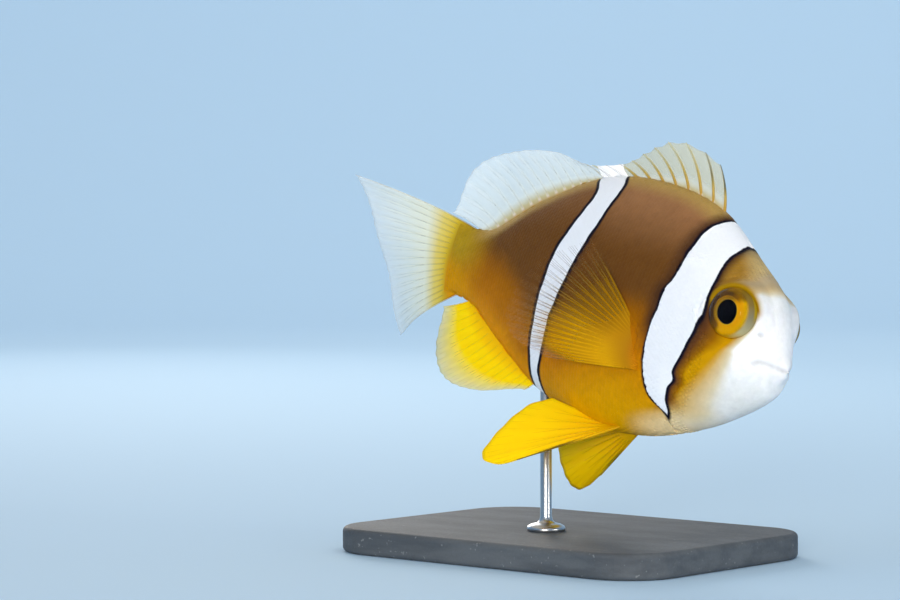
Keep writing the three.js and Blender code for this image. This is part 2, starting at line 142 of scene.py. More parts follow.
# ---- White bars: [up, back] along each edge, and how wide the dark edging is ----
HEAD_BAR = {
    "front": [[-0.30, 0.260], [-0.205, 0.236], [-0.186, 0.229], [-0.162, 0.234], [-0.138, 0.233],
              [-0.117, 0.221], [-0.101, 0.226], [-0.075, 0.220], [-0.039, 0.209], [-0.006, 0.201],
              [0.073, 0.199], [0.133, 0.200], [0.165, 0.200], [0.190, 0.196], [0.215, 0.200],
              [0.30, 0.215]],
    "rear": [[-0.30, 0.200], [-0.205, 0.222], [-0.191, 0.231], [-0.171, 0.265], [-0.145, 0.284],
             [-0.105, 0.297], [-0.065, 0.302], [-0.021, 0.303], [0.018, 0.297], [0.060, 0.298],
             [0.097, 0.284], [0.157, 0.281], [0.203, 0.275], [0.242, 0.259], [0.30, 0.225]],
}
MIDDLE_BAR = {
    "front": [[-0.30, 0.585], [-0.219, 0.599], [-0.190, 0.610], [-0.153, 0.606], [-0.107, 0.601],
              [-0.051, 0.597], [0.008, 0.587], [0.062, 0.575], [0.117, 0.564], [0.155, 0.556],
              [0.206, 0.550], [0.246, 0.547], [0.273, 0.556], [0.30, 0.590], [0.34, 0.610]],
    "rear": [[-0.30, 0.610], [-0.212, 0.629], [-0.190, 0.633], [-0.148, 0.641], [-0.095, 0.643],
             [-0.037, 0.646], [0.019, 0.645], [0.078, 0.639], [0.134, 0.626], [0.187, 0.610],
             [0.229, 0.606], [0.250, 0.620], [0.287, 0.660], [0.34, 0.690]],
}
BAR_EDGING = 0.0065
# Where the pale snout gives way to the brown head, as [up, back].
SNOUT_EDGE = [[-0.24, 0.330], [-0.205, 0.290], [-0.170, 0.204], [-0.140, 0.184], [-0.107, 0.162],
              [-0.070, 0.141], [-0.030, 0.122], [0.005, 0.105], [0.052, 0.090], [0.096, 0.106],
              [0.120, 0.112], [0.139, 0.112], [0.174, 0.140], [0.22, 0.18]]
# How sharply it does so at each level, as [up, sharpness].
SNOUT_SHARPNESS = [[-0.24, 0.35], [-0.20, 0.45], [-0.17, 0.65], [-0.14, 0.80], [-0.107, 0.95],
                   [-0.070, 1.25], [-0.030, 2.00], [0.005, 3.20], [0.096, 3.00], [0.130, 2.00],
                   [0.22, 1.40]]
# Level at which the brown flank turns amber, as [back, up].
AMBER_LEVEL = [[0.20, -0.010], [0.30, -0.020], [0.36, -0.015], [0.46, -0.040], [0.56, -0.085],
               [0.66, -0.095], [0.74, -0.045], [0.80, -0.015], [0.86, 0.005], [0.92, 0.030], [1.00, 0.090]]

# ---- Fins: lengths, leans, tips or reaches of the rays at even steps along the base ----
DORSAL = {
    "from": 0.290, "to": 0.920, "up": 1, "bow": [0.28, 0.28, 0.24, 0.20, 0.17, 0.17, 0.17, 0.17, 0.17],
    "length": [0.106, 0.133, 0.101, 0.068, 0.066, 0.118, 0.168, 0.175, 0.100],
    "lean": [26, 39, 53, 69, 73, 59, 60, 63, 76],
    "ripple": 0.006, "ripples": 3.5,
}
ANAL = {
    "from": 0.640, "to": 0.900, "up": -1, "bow": [0.17, 0.17, 0.17, 0.17, 0.17],
    "length": [0.030, 0.127, 0.172, 0.168, 0.085], "lean": [48, 48, 48, 56, 68],
    "ripple": 0.004, "ripples": 1.5,
}
TAIL = {
    "root_up": [0.080, -0.076], "root_back": 0.958, "root_bulge": 0.026,
    "tips": [[1.285, 0.120], [1.255, 0.045], [1.245, -0.045], [1.235, -0.130], [1.225, -0.208]],
    "bow": 0.03, "ripple": 0.006, "ripples": 2.0,
}
PELVIC_RIGHT = {
    "root": [[0.366, 0.034, -0.2510], [0.392, 0.020, -0.2510]], "bow": [0.0, 0.0, 0.0], "depth": 0.012,
    "reach": [[0.139, 0.118, -0.131], [0.168, 0.136, -0.154], [0.199, 0.151, -0.156],
              [0.214, 0.143, -0.138], [0.211, 0.119, -0.094], [0.202, 0.091, -0.050],
              [0.185, 0.063, -0.011], [0.151, 0.035, 0.017]],
}
PELVIC_LEFT = {
    "root": [[0.352, 0.022, -0.2525], [0.378, 0.012, -0.2500]], "bow": [0.0, 0.0, 0.0], "depth": 0.012,
    "reach": [[0.152, 0.130, -0.113], [0.182, 0.147, -0.144], [0.208, 0.156, -0.163],
              [0.223, 0.148, -0.160], [0.231, 0.134, -0.144], [0.239, 0.117, -0.117],
              [0.240, 0.102, -0.088], [0.227, 0.088, -0.062]],
}
PECTORAL = {
    "root": [[0.345, 0.110, -0.036], [0.331, 0.110, -0.122]], "bow": [0.0, -0.034, 0.0], "depth": 0.020,
    "reach": [[0.147, 0.055, 0.156], [0.236, 0.086, 0.102], [0.271, 0.112, 0.022], [0.252, 0.097, -0.028],
              [0.170, 0.068, -0.031]],
}
FIN_ROOT_DEPTH = 0.012         # of the dorsal and anal fins' roots, inside the body
DORSAL_SPINES = 10
DORSAL_SOFT_RAYS = 16
SPINY_TO = 0.600
SOFT_FROM = 0.620
SPINE_OVERRUN = 0.015          # of a spine past the film's margin
# Each fork of a soft ray: where it starts and ends, its ways, how far they part and how thin they are.
RAY_FORKS = (
    (0.0, 0.42, [0.0], 0.0, 1.0),
    (0.42, 0.70, [-1.0, 1.0], 0.17, 0.85),
    (0.70, 1.0, [-1.0, 1.0], 0.10, 0.72),
)
FILM_PER_RAY = 6
FILM_STEPS = 26
FILM_THINS = 0.55              # by this share towards the margin
FILM_PLEAT = 0.03 * MM
FIN_BUMP = 0.02 * MM

# ---- Stand ----
BASE_CORNER = 9.0 * MM
BASE_EDGE = 0.8 * MM
CORNER_STEPS = 14
EDGE_STEPS = 8
ROD_RADIUS = 0.9 * MM
ROD_INTO_BELLY = 1.2 * MM
ROD_SIDES = 48

# ---- Stage ----
CAMERA_AZIMUTH = math.radians(38.2)
CAMERA_ELEVATION = math.radians(2.0)
CAMERA_DISTANCE = 0.455
AIM_PLACE = [0.45, 0.0, 0.0]
PICTURE_WIDTH = 900
SENSOR_WIDTH = 36.0
FOCAL_PIXELS = 2963.0
AIM_RIGHT_PIXELS = 181.3
AIM_BELOW_PIXELS = 11.0
CLIP_START = 0.01
FLOOR_RADIUS = 0.9
FLOOR_BEND = 0.5
WALL_HEIGHT = 1.1
FLOOR_SIDES = 96
SKY_COLOUR = (255, 248, 238)
LIGHT_COLOUR = (255, 244, 230)
# Each light's name, its place and what it points at, both as metres nearer to the camera, to the right
# and above the aim, its size and its spread in degrees.
LIGHTS = (
    ("key", (0.25, 0.20, 0.62), (0.0, 0.0, 0.0), 0.60, 180),
    ("fill", (0.80, -0.10, 0.06), (0.0, 0.0, 0.0), 0.22, 60),
    ("bounce", (0.45, 0.72, 0.08), (0.0, 0.0, 0.0), 0.20, 60),
    ("rear", (-0.75, -0.25, 0.28), (0.0, 0.0, 0.0), 0.40, 60),
    ("backdrop", (-0.40, 0.0, 0.75), (-1.3, 0.0, 0.30), 0.60, 180),
)


def srgb(red, green, blue):
    """A colour from the usual 0 to 255 values, as Blender holds it."""
    shares = np.array([red, green, blue]) / 255
    linear = np.where(shares <= 0.04045, shares / 12.92, ((shares + 0.055) / 1.055) ** 2.4)
    return (*linear.tolist(), 1.0)


def as_colour(shade):
    """A colour as Blender holds it, from 0 to 255 values, a grey share or a colour held so already."""
    if np.isscalar(shade):
        return (shade, shade, shade, 1.0)
    return srgb(*shade) if len(shade) == 3 else shade


# ---------------------------------------------------------------- settings

def colour(name, description, *value):
    return FloatVectorProperty(
        name=name, description=description, default=srgb(*value), subtype="COLOR", size=4, min=0, max=1
    )


def length(name, description, metres):
    return FloatProperty(name=name, description=description, default=metres, unit="LENGTH", precision=5)


def number(name, description, value):
    return FloatProperty(name=name, description=description, default=value)


def count(name, description, value):
    return IntProperty(name=name, description=description, default=value)


class ClownfishSkinSettings(bpy.types.PropertyGroup):
    """Sizes of the skin and its coat of scales"""

    rings: count("Rings", "Rings of the skin from snout to tail", 340)
    sides: count("Sides", "Points round each ring", 272)
    coat_depth: length("Coat depth", "How deep the skin lies under the scales' outer face", 0.00010)
    gill_step: length("Gill step", "How far the gill cover stands over the flank", 0.00026)
    preopercle_step: length("Cheek step", "How far the front gill plate stands over the rear one", 0.00005)
    lip: length("Lip", "How far the lips stand out", 0.00011)
    mouth_depth: length("Mouth depth", "Depth of the line of the closed mouth", 0.00014)
    orbit_rim: length("Orbit rim", "Height of the ring of skin round the eye", 0.00008)
    nostril_depth: length("Nostril depth", "Depth of each nostril", 0.00026)
    fine_bump: length("Fine relief", "Depth of the finest unevenness", 0.00003)


class ClownfishScaleSettings(bpy.types.PropertyGroup):
    """Layout and shape of the scales"""

    row_gap: length("Row gap", "Height of a flank scale's row", 0.00098)
    column_gap: length("Column gap", "Distance between staggered columns on the flank", 0.00062)
    head_row_gap: length("Head row gap", "Height of a head scale's row", 0.00074)
    head_column_gap: length("Head column gap", "Distance between staggered columns on the head", 0.00047)
    cover: number("Cover", "A scale's radius as a share of its row gap", 0.72)
    thickness: length("Thickness", "Thickness of a scale", 0.000042)
    rise: length("Rise", "How far a scale's rear edge stands up", 0.00002)
    sides: count("Sides", "Points round a scale", 10)
    patch: number("Patch", "Width of a scale's patch on the map", 0.003)
    seed: count("Seed", "Seed of the scales' small differences", 7)


class ClownfishFinSettings(bpy.types.PropertyGroup):
    """Sizes of the fins' skin and rays"""

    film: length("Film", "Thickness of a fin's skin", 0.00012)
    spine_radius: length("Spine radius", "Radius of a spine at its root", 0.00030)
    ray_radius: length("Ray radius", "Radius of a soft ray at its root", 0.00020)
    ray_sides: count("Ray sides", "Points round a ray", 6)


class ClownfishColourSettings(bpy.types.PropertyGroup):
    """Colours of the fish"""

    white: colour("White", "The bars", 240, 245, 253)
    edging: colour("Edging", "The dark edges of the bars", 8, 10, 28)
    snout: colour("Snout", "The pale snout", 242, 243, 246)
    # Painted shade: the grey the white snout takes on towards the brow and the chin.
    snout_shade: colour("Jaw", "The chin, and the snout's edge under the brow", 212, 218, 220)
    cream: colour("Cream", "Between the snout and the throat", 214, 202, 170)
    throat: colour("Throat", "The tan throat, and the cheek's pale edge", 200, 161, 83)
    # Painted light: the throat is lightened where it faces down, to make up for the light that does not
    # reach it.
    underside_painted_light: colour("Underside", "The throat where it faces down", 255, 222, 164)
    forehead: colour("Forehead", "Between the snout and the eye", 196, 176, 126)
    brow: colour("Brow", "The greyer brow over the snout", 170, 154, 124)
    crown: colour("Crown", "Above the eye", 150, 112, 40)
    gold: colour("Gold", "The cheek beside the snout", 196, 144, 0)
    cheek: colour("Cheek", "Below and behind the eye", 146, 96, 2)
    russet: colour("Russet", "The cheek beside the head bar", 96, 58, 28)
    # Painted shade beside the bars.
    bar_shade: colour("Dusk", "The dark brown beside the head bar", 72, 46, 28)
    brown: colour("Brown", "The flank", 104, 66, 26)
    back: colour("Back", "The lighter back", 152, 108, 72)
    ridge: colour("Ridge", "Along the roots of the dorsal fin", 176, 144, 80)
    umber: colour("Umber", "Where the brown flank turns amber", 150, 90, 0)
    amber: colour("Amber", "The lower flank", 188, 114, 0)
    belly: colour("Belly", "The belly", 222, 162, 0)
    stalk: colour("Tail stalk", "The upper tail stalk", 170, 144, 32)
    low_stalk: colour("Lower stalk", "The lower tail stalk", 184, 140, 4)
    rear_edge: colour("Rear edge", "The body's lower edge over the anal fin", 236, 148, 0)
    eye_ring: colour("Eye ring", "The skin round the eye", 158, 122, 8)


class ClownfishStageSettings(bpy.types.PropertyGroup):
    """The stage and its light"""

    surround: colour("Surround", "Floor and backdrop", 184, 216, 243)
    key_power: number("Key light", "Power of the top light, in watts", 0.6)
    fill_power: number("Fill light", "Power of the front light, in watts", 0.53)
    bounce_power: number("Side light", "Power of the side light, in watts", 0.13)
    rear_power: number("Rear light", "Power of the rear light, in watts", 0.34)
    backdrop_power: number("Backdrop light", "Power on the backdrop, in watts", 4.2)
    world_strength: number("Sky", "Strength of the light from all round", 0.64)


# ---------------------------------------------------------------- shapes of the fish

def smooth_through(values, x):
    """A smooth curve through evenly spaced rows; x counts rows, from 0 at the first."""
    rows = np.asarray(values, float)
    last = len(rows) - 1
    x = np.clip(np.asarray(x, float), 0, last)
    row = np.minimum(x.astype(int), last - 1)
    t = (x - row).reshape(x.shape + (1,) * (rows.ndim - 1))
    a, b, c, d = (rows[np.clip(row + k, 0, last)] for k in (-1, 0, 1, 2))
    start_slope = (c - a) / 2
    end_slope = (d - b) / 2
    cubic = 2 * b - 2 * c + start_slope + end_slope
    square = 3 * c - 3 * b - 2 * start_slope - end_slope
    return (cubic * t + square) * t * t + start_slope * t + b


def along_curve(values, share):
    """The same by the share of the way, from 0 at the first row to 1 at the last."""
    return smooth_through(values, np.asarray(share) * (len(values) - 1))


def rise(x, start, end):
    """0 before start and 1 after end, with a smooth step between them."""
    t = np.clip((x - start) / (end - start), 0, 1)
    return t * t * (3 - 2 * t)


def hump(x, width):
    """1 at 0, and less to both sides of it."""
    return np.exp(-((x / width) ** 2))


def unit(vectors):
    return vectors / np.maximum(np.linalg.norm(vectors, axis=-1, keepdims=True), 1e-12)


def travelled(line):
    """How far each point of a line lies along it from the first one."""
    return np.concatenate([[0], np.cumsum(np.linalg.norm(np.diff(line, axis=0), axis=-1))])


def sideways(back, up):
    """How far the swing and twist of the tail carry a place to the left."""
    swung = np.maximum(back - SWING_FROM, 0) / (1 - SWING_FROM)
    t = np.maximum((back - TWIST_FROM) / (TWIST_FULL - TWIST_FROM), 0)
    turned = np.where(t < 1, t * t * (1.5 - 0.5 * t), t)
    return SWING * swung * swung + TWIST * turned * (up - TWIST_LEVEL)


def body_point(along, angle):
    """A point of the body: along the stations from 0, and the angle round from the back."""
    row = smooth_through(STATIONS, along)
    top_back, top_up, low_back, low_up, half_width, level, ridge_top, ridge_low = np.moveaxis(row, -1, 0)
    across = np.abs(np.sin(angle))
    share = (np.cos(angle) + level * across * across + 1) / 2
    back = low_back + (top_back - low_back) * share
    up = low_up + (top_up - low_up) * share
    sharpness = np.where(np.cos(angle) > 0, ridge_top, ridge_low)
    side = half_width * across**sharpness * np.sign(np.sin(angle))
    return np.stack([back, side + sideways(back, up), up], -1)


def to_world(places):
    """Metres in the packed frame, from [back, side, up] shares of the body's length."""
    turned_round = np.asarray(places, float) * [-BODY_LENGTH, BODY_LENGTH, BODY_LENGTH]
    return turned_round @ TURN_ROWS.T + SNOUT_AT


def from_stretch(places, start, end):
    """How far each place lies from the straight stretch between two others, in metres."""
    step = end - start
    t = np.clip((places - start) @ step / (step @ step), 0, 1)
    return np.linalg.norm(places - start - t[..., None] * step, axis=-1) * BODY_LENGTH


def behind_line(line, back, up):
    """Metres that each place lies behind a line that runs from the back down to the belly."""
    smooth = along_curve(line, np.linspace(0, 1, 60))
    return (back - np.interp(-up, -smooth[:, 1], smooth[:, 0])) * BODY_LENGTH


def side_distance(place, back, up):
    """Metres from each place to one given as [back, ..., up], in the side view."""
    return np.hypot(back - place[0], up - place[-1]) * BODY_LENGTH


def plate_edge(past, window, fall, fades_ahead, slot_at, slot_width, slot_depth):
    """A plate that ends in a step with a slot behind it: its height and the slot, each as a share."""
    plate = (1 - rise(past, -0.05 * MM, fall)) * hump(np.minimum(past, 0), fades_ahead)
    slot = hump(past - slot_at, slot_width) * window
    return window * plate - slot_depth * slot, slot


def relief(places, skin):
    """How far the head's folds stand out of the plain body, in metres, and how hollow each place is."""
    back, side, up = np.moveaxis(places, -1, 0)
    gill_window = rise(up, 0.165, 0.125) * rise(np.abs(side), 0.012, 0.045)
    gill, gill_slot = plate_edge(
        behind_line(GILL_EDGE, back, up), gill_window,
        fall=0.22 * MM, fades_ahead=6 * MM, slot_at=0.28 * MM, slot_width=0.24 * MM, slot_depth=0.6,
    )
    cheek_window = rise(up, 0.045, 0.010) * rise(up, -0.160, -0.13)
    cheek, cheek_slot = plate_edge(
        behind_line(PREOPERCLE_EDGE, back, up), cheek_window,
        fall=0.2 * MM, fades_ahead=3 * MM, slot_at=0.25 * MM, slot_width=0.2 * MM, slot_depth=0.5,
    )
    line = along_curve(MOUTH_LINE, np.linspace(0, 1, 4 * len(MOUTH_LINE)))
    in_view = np.stack([back, up], -1)
    from_mouth = np.min([from_stretch(in_view, *ends) for ends in zip(line[:-1], line[1:])], axis=0)
    mouth = hump(from_mouth, 0.36 * MM)
    lips = hump(from_mouth - 0.95 * MM, 0.6 * MM) * rise(back, 0.072, 0.040)
    from_nostril = side_distance(NOSTRIL, back, up)
    nostril = rise(from_nostril, 0.52 * MM, 0.10 * MM)
    nostril_rim = hump(from_nostril - 0.55 * MM, 0.2 * MM)
    from_tip = np.linalg.norm(places - SNOUT_TIP, axis=-1) * BODY_LENGTH

    height = skin.gill_step * gill + skin.preopercle_step * cheek
    height += skin.lip * lips - skin.mouth_depth * mouth
    height += skin.nostril_depth * (0.2 * nostril_rim - nostril)
    height -= TIP_BLUNTED * hump(from_tip, 0.9 * MM)
    return height, np.clip(mouth + nostril + 0.6 * gill_slot + 0.35 * cheek_slot, 0, 1)


def body_frame(along, angle):
    """The plain body's outward normal and direction to the tail, in the packed frame."""
    along = np.clip(along, 0.03, TAIL_END)
    small = 0.01
    before = to_world(body_point(along - small, angle))
    after = to_world(body_point(np.minimum(along + small, TAIL_END), angle))
    to_tail = after - before
    round_left = to_world(body_point(along, angle + small)) - to_world(body_point(along, angle - small))
    normal = unit(np.cross(round_left, to_tail))
    return normal, unit(to_tail - normal * (to_tail * normal).sum(-1, keepdims=True))


def on_skin(along, angle, skin):
    """Points of the finished skin, with their normals, directions to the tail and hollowness."""
    places = body_point(along, angle)
    normal, to_tail = body_frame(along, angle)
    height, hollow = relief(places, skin)
    points = to_world(places) + normal * (height - skin.coat_depth)[..., None]
    for side in (1, -1):
        points = fitted_to_eye(points, side, skin.orbit_rim)
    return points, normal, to_tail, hollow


def round_the_eye(along, angle, skin, normal, to_tail):
    """Turns normals and directions to the tail to follow the skin where it is drawn to an eye."""
    back, _, up = np.moveaxis(body_point(along, angle), -1, 0)
    near = side_distance(EYE_CENTRE, back, up) < (COLLAR_FADE + 0.6) * MM
    a, b = along[near], angle[near]
    small = 0.02
    down_tail = on_skin(a + small, b, skin)[0] - on_skin(a - small, b, skin)[0]
    round_left = on_skin(a, b + small, skin)[0] - on_skin(a, b - small, skin)[0]
    normal[near] = unit(np.cross(round_left, down_tail))
    to_tail[near] = unit(down_tail)


def fitted_to_eye(points, side, rim):
    """The skin drawn to a collar round one eyeball, and down out of sight underneath it."""
    matrix = np.array(eye_matrix(side))
    local = (points - matrix[:3, 3]) @ matrix[:3, :3] / MM
    radius = np.hypot(local[..., 0], local[..., 1])
    lean = local[..., 0] / np.maximum(radius, 0.1)
    collar = COLLAR_HEIGHT - COLLAR_LEAN * lean + COLLAR_RAISED * (1 - lean * lean)
    share = 1 - (collar / EYE_DEPTH_RADIUS) ** EYE_SQUARENESS
    meets = EYE_RADIUS * share ** (1 / EYE_SQUARENESS)
    drawn = rise(radius, COLLAR_FADE, meets + COLLAR_FLAT)
    target = collar + rim / MM * hump(radius - meets - COLLAR_RIM_OUT, COLLAR_RIM_WIDTH)
    height = local[..., 2] + (target - local[..., 2]) * drawn
    sunk = rise(radius, meets - COLLAR_SINKS[0], meets - COLLAR_SINKS[1])
    height = height + (COLLAR_SUNK - height) * sunk
    near = (local[..., 2] > COLLAR_SUNK - 1.5) & (radius < COLLAR_FADE)
    local[..., 2] = np.where(near, height, local[..., 2])
    return local * MM @ matrix[:3, :3].T + matrix[:3, 3]


# ---------------------------------------------------------------- meshes

def facing_out(points, faces):
    """The faces, turned over if they enclose a negative volume, as their first four corners tell."""
    a, b, c, d = np.moveaxis(points[[(*face, face[-1])[:4] for face in faces]] - points.mean(0), 1, 0)
    volume = (a * np.cross(b, c)).sum() + (a * np.cross(c, d)).sum()
    return faces if volume > 0 else [face[::-1] for face in faces]


def mesh_from(name, points, faces, closed=True):
    """A smoothly shaded mesh. The faces of a closed one are turned to face outwards."""
    points = np.asarray(points)
    mesh = bpy.data.meshes.new(name)
    mesh.from_pydata(points.tolist(), [], facing_out(points, faces) if closed else faces)
    mesh.validate()
    mesh.shade_smooth()
    return mesh


def ring_walls(rings, sides, first=0):
    """Quads between each ring of points and the next, and the points' numbers."""
    numbers = first + np.arange(rings * sides).reshape(rings, sides)
    after = np.roll(numbers, -1, axis=1)
    return np.stack([numbers[:-1], numbers[1:], after[1:], after[:-1]], -1).reshape(-1, 4).tolist(), numbers


def ring_faces(rings, sides, closed=True):
    """Faces over a stack of rings. Point 0 is the tip before them, and the last one that after them."""
    faces, numbers = ring_walls(rings, sides, first=1)
    first, last = numbers[0].tolist(), numbers[-1].tolist()
    faces += [(0, a, b) for a, b in zip(first, first[1:] + first[:1])]
    if closed:
        faces += [(a, rings * sides + 1, b) for a, b in zip(last, last[1:] + last[:1])]
    return faces


def turned_profile(profile, sides):
    """Points and faces turned from (radius, height) pairs, which start on the axis and may end on it."""
    closed = profile[-1][0] == 0
    rings = profile[1:-1] if closed else profile[1:]
    angles = np.linspace(0, 2 * math.pi, sides, endpoint=False)
    points = [(0.0, 0.0, profile[0][1])]
    for radius, height in rings:
        points += [(radius * math.cos(a), radius * math.sin(a), height) for a in angles]
    if closed:
        points.append((0.0, 0.0, profile[-1][1]))
    return np.array(points), ring_faces(len(rings), sides, closed)


def add_object(name, data):
    piece = bpy.data.objects.new(name, data)
    bpy.context.scene.collection.objects.link(piece)
    return piece


def store(mesh, **values_by_name):
    """Keeps a number, or three, at each vertex under a name that materials and node trees can read."""
    for name, values in values_by_name.items():
        values = np.asarray(values, np.float32)
        kind, key = ("FLOAT", "value") if values.ndim == 1 else ("FLOAT_VECTOR", "vector")
        mesh.attributes.new(name, kind, "POINT").data.foreach_set(key, values.ravel())


def finish_piece(piece, material, slot, *nodes):
    if material is not None:
        piece.data.materials.append(material)
    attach(piece, BODY)
    if nodes:
        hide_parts(*nodes)


# ---------------------------------------------------------------- node trees

class Wire:
    """What comes out of a node. Arithmetic on it adds further nodes."""

    def __init__(self, nodes, socket):
        self.nodes = nodes
        self.socket = socket

    def __add__(self, other):
        return self.nodes.math("ADD", self, other)

    def __sub__(self, other):
        return self.nodes.math("SUBTRACT", self, other)

    def __mul__(self, other):
        return self.nodes.math("MULTIPLY", self, other)

    def __pow__(self, other):
        return self.nodes.math("POWER", self, other)


class Nodes:
    """Adds nodes to a tree, one call for each, and hands back what comes out of them."""

    def __init__(self, tree):
        self.tree = tree

    def feed(self, node, inputs):
        """Links or sets a node's inputs, by their names or numbers."""
        for key, value in inputs.items():
            if isinstance(value, Wire):
                self.tree.links.new(value.socket, node.inputs[key])
            else:
                node.inputs[key].default_value = value
        return node

    def add(self, kind, inputs=None, output=0, **settings):
        node = self.tree.nodes.new(kind)
        for name, value in settings.items():
            setattr(node, name, value)
        return Wire(self, self.feed(node, inputs or {}).outputs[output])

    def all_outputs(self, wire):
        return [Wire(self, socket) for socket in wire.socket.node.outputs]

    def given(self):
        """The tree's own inputs, by name."""
        return {wire.socket.name: wire for wire in self.all_outputs(self.add("NodeGroupInput"))}

    def give(self, results):
        self.feed(self.tree.nodes.new("NodeGroupOutput"), results)

    def math(self, operation, *values):
        return self.add("ShaderNodeMath", dict(enumerate(values)), operation=operation)

    def vector_math(self, operation, inputs, output=0):
        return self.add("ShaderNodeVectorMath", inputs, output, operation=operation)

    def distance(self, a, b):
        return self.math("SQRT", a * a + b * b)

    def rise(self, value, start, end):
        inputs = {0: value, 1: start, 2: end}
        return self.add("ShaderNodeMapRange", inputs, interpolation_type="SMOOTHSTEP")

    def blend(self, factor, first, second):
        first, second = (shade if isinstance(shade, Wire) else as_colour(shade) for shade in (first, second))
        return self.add("ShaderNodeMix", {0: factor, 6: first, 7: second}, 2, data_type="RGBA")

    def between(self, factor, first, second):
        return self.add("ShaderNodeMix", {0: factor, 2: first, 3: second})

    def noise(self, vector, scale, detail=2.0, roughness=0.5):
        inputs = {"Vector": vector, "Scale": scale, "Detail": detail, "Roughness": roughness}
        return self.add("ShaderNodeTexNoise", inputs)

    def read(self, name, output="Fac"):
        return self.add("ShaderNodeAttribute", output=output, attribute_name=name)

    def named(self, name, kind="FLOAT_VECTOR"):
        return self.add("GeometryNodeInputNamedAttribute", {"Name": name}, data_type=kind)

    def keep(self, geometry, name, values, kind, domain):
        """The geometry with values stored on it under a name."""
        inputs = {"Geometry": geometry, "Name": name, "Value": values}
        return self.add("GeometryNodeStoreNamedAttribute", inputs, data_type=kind, domain=domain)

    def change(self, geometry, kind, **inputs):
        return self.add("GeometryNode" + kind, {"Geometry": geometry, **inputs})

    def split(self, vector):
        return self.all_outputs(self.add("ShaderNodeSeparateXYZ", {0: vector}))

    def join(self, *numbers):
        return self.add("ShaderNodeCombineXYZ", dict(enumerate(numbers)))

    def bump(self, height, depth):
        return self.add("ShaderNodeBump", {"Height": height, "Strength": 1.0, "Distance": depth})

    def ramp(self, value, stops):
        """Colours or grey shares at rising places from 0 to 1."""
        ramp = self.add("ShaderNodeValToRGB", {0: value})
        elements = ramp.socket.node.color_ramp.elements
        for element, (place, _) in zip(elements, (stops[0], stops[-1])):
            element.position = place
        for place, _ in stops[1:-1]:
            elements.new(place)
        for element, (_, shade) in zip(elements, stops):
            element.color = as_colour(shade)
        return ramp

    def curve(self, value, points):
        """A smooth curve through points, at a value that runs along their first numbers."""
        low, high = points[0][0], points[-1][0]
        least = min(y for _, y in points)
        share = self.add("ShaderNodeMapRange", {0: value, 1: low, 2: high})
        curve = self.add("ShaderNodeFloatCurve", {"Value": share})
        mapping = curve.socket.node.mapping
        line = mapping.curves[0].points
        places = [((x - low) / (high - low), y - least) for x, y in points]
        line[0].location = places[0]
        line[1].location = places[-1]
        for place in places[1:-1]:
            line.new(*place)
        mapping.update()
        return curve + least

    def object_place(self, scale=None):
        seen = self.add("ShaderNodeTexCoord", output="Object")
        return self.add("ShaderNodeMapping", {0: seen, 3: scale}) if scale else seen

    def fish_place(self):
        """The shaded place, and its back and up, as shares of the body's length."""
        inputs = {0: self.object_place(), 1: tuple(SNOUT_AT), 2: tuple(TURN), 3: (BODY_LENGTH,) * 3}
        place = self.add("ShaderNodeMapping", inputs, vector_type="TEXTURE")
        ahead, _, up = self.split(place)
        return place, ahead * -1.0, up


def new_material(name):
    """A material, and the adder of its nodes, which knows its shader."""
    material = bpy.data.materials.new(name)
    material.use_nodes = True
    nodes = Nodes(material.node_tree)
    nodes.shader = next(node for node in nodes.tree.nodes if node.type == "BSDF_PRINCIPLED")
    return material, nodes


def new_tree(name, kind, inputs, outputs):
    """A node tree with sockets given as names and types, in the adder of its nodes."""
    tree = bpy.data.node_groups.new(name, kind)
    for in_out, sockets in (("INPUT", inputs), ("OUTPUT", outputs)):
        for socket, socket_type in sockets.items():
            tree.interface.new_socket(socket, in_out=in_out, socket_type="NodeSocket" + socket_type)
    return Nodes(tree)


# ---------------------------------------------------------------- markings

def bar_distance(nodes, back, up, bar):
    """How far a place lies outside a bar, as a share of the body's length, and below 0 inside it."""
    return nodes.math("MAXIMUM", nodes.curve(up, bar["front"]) - back, back - nodes.curve(up, bar["rear"]))


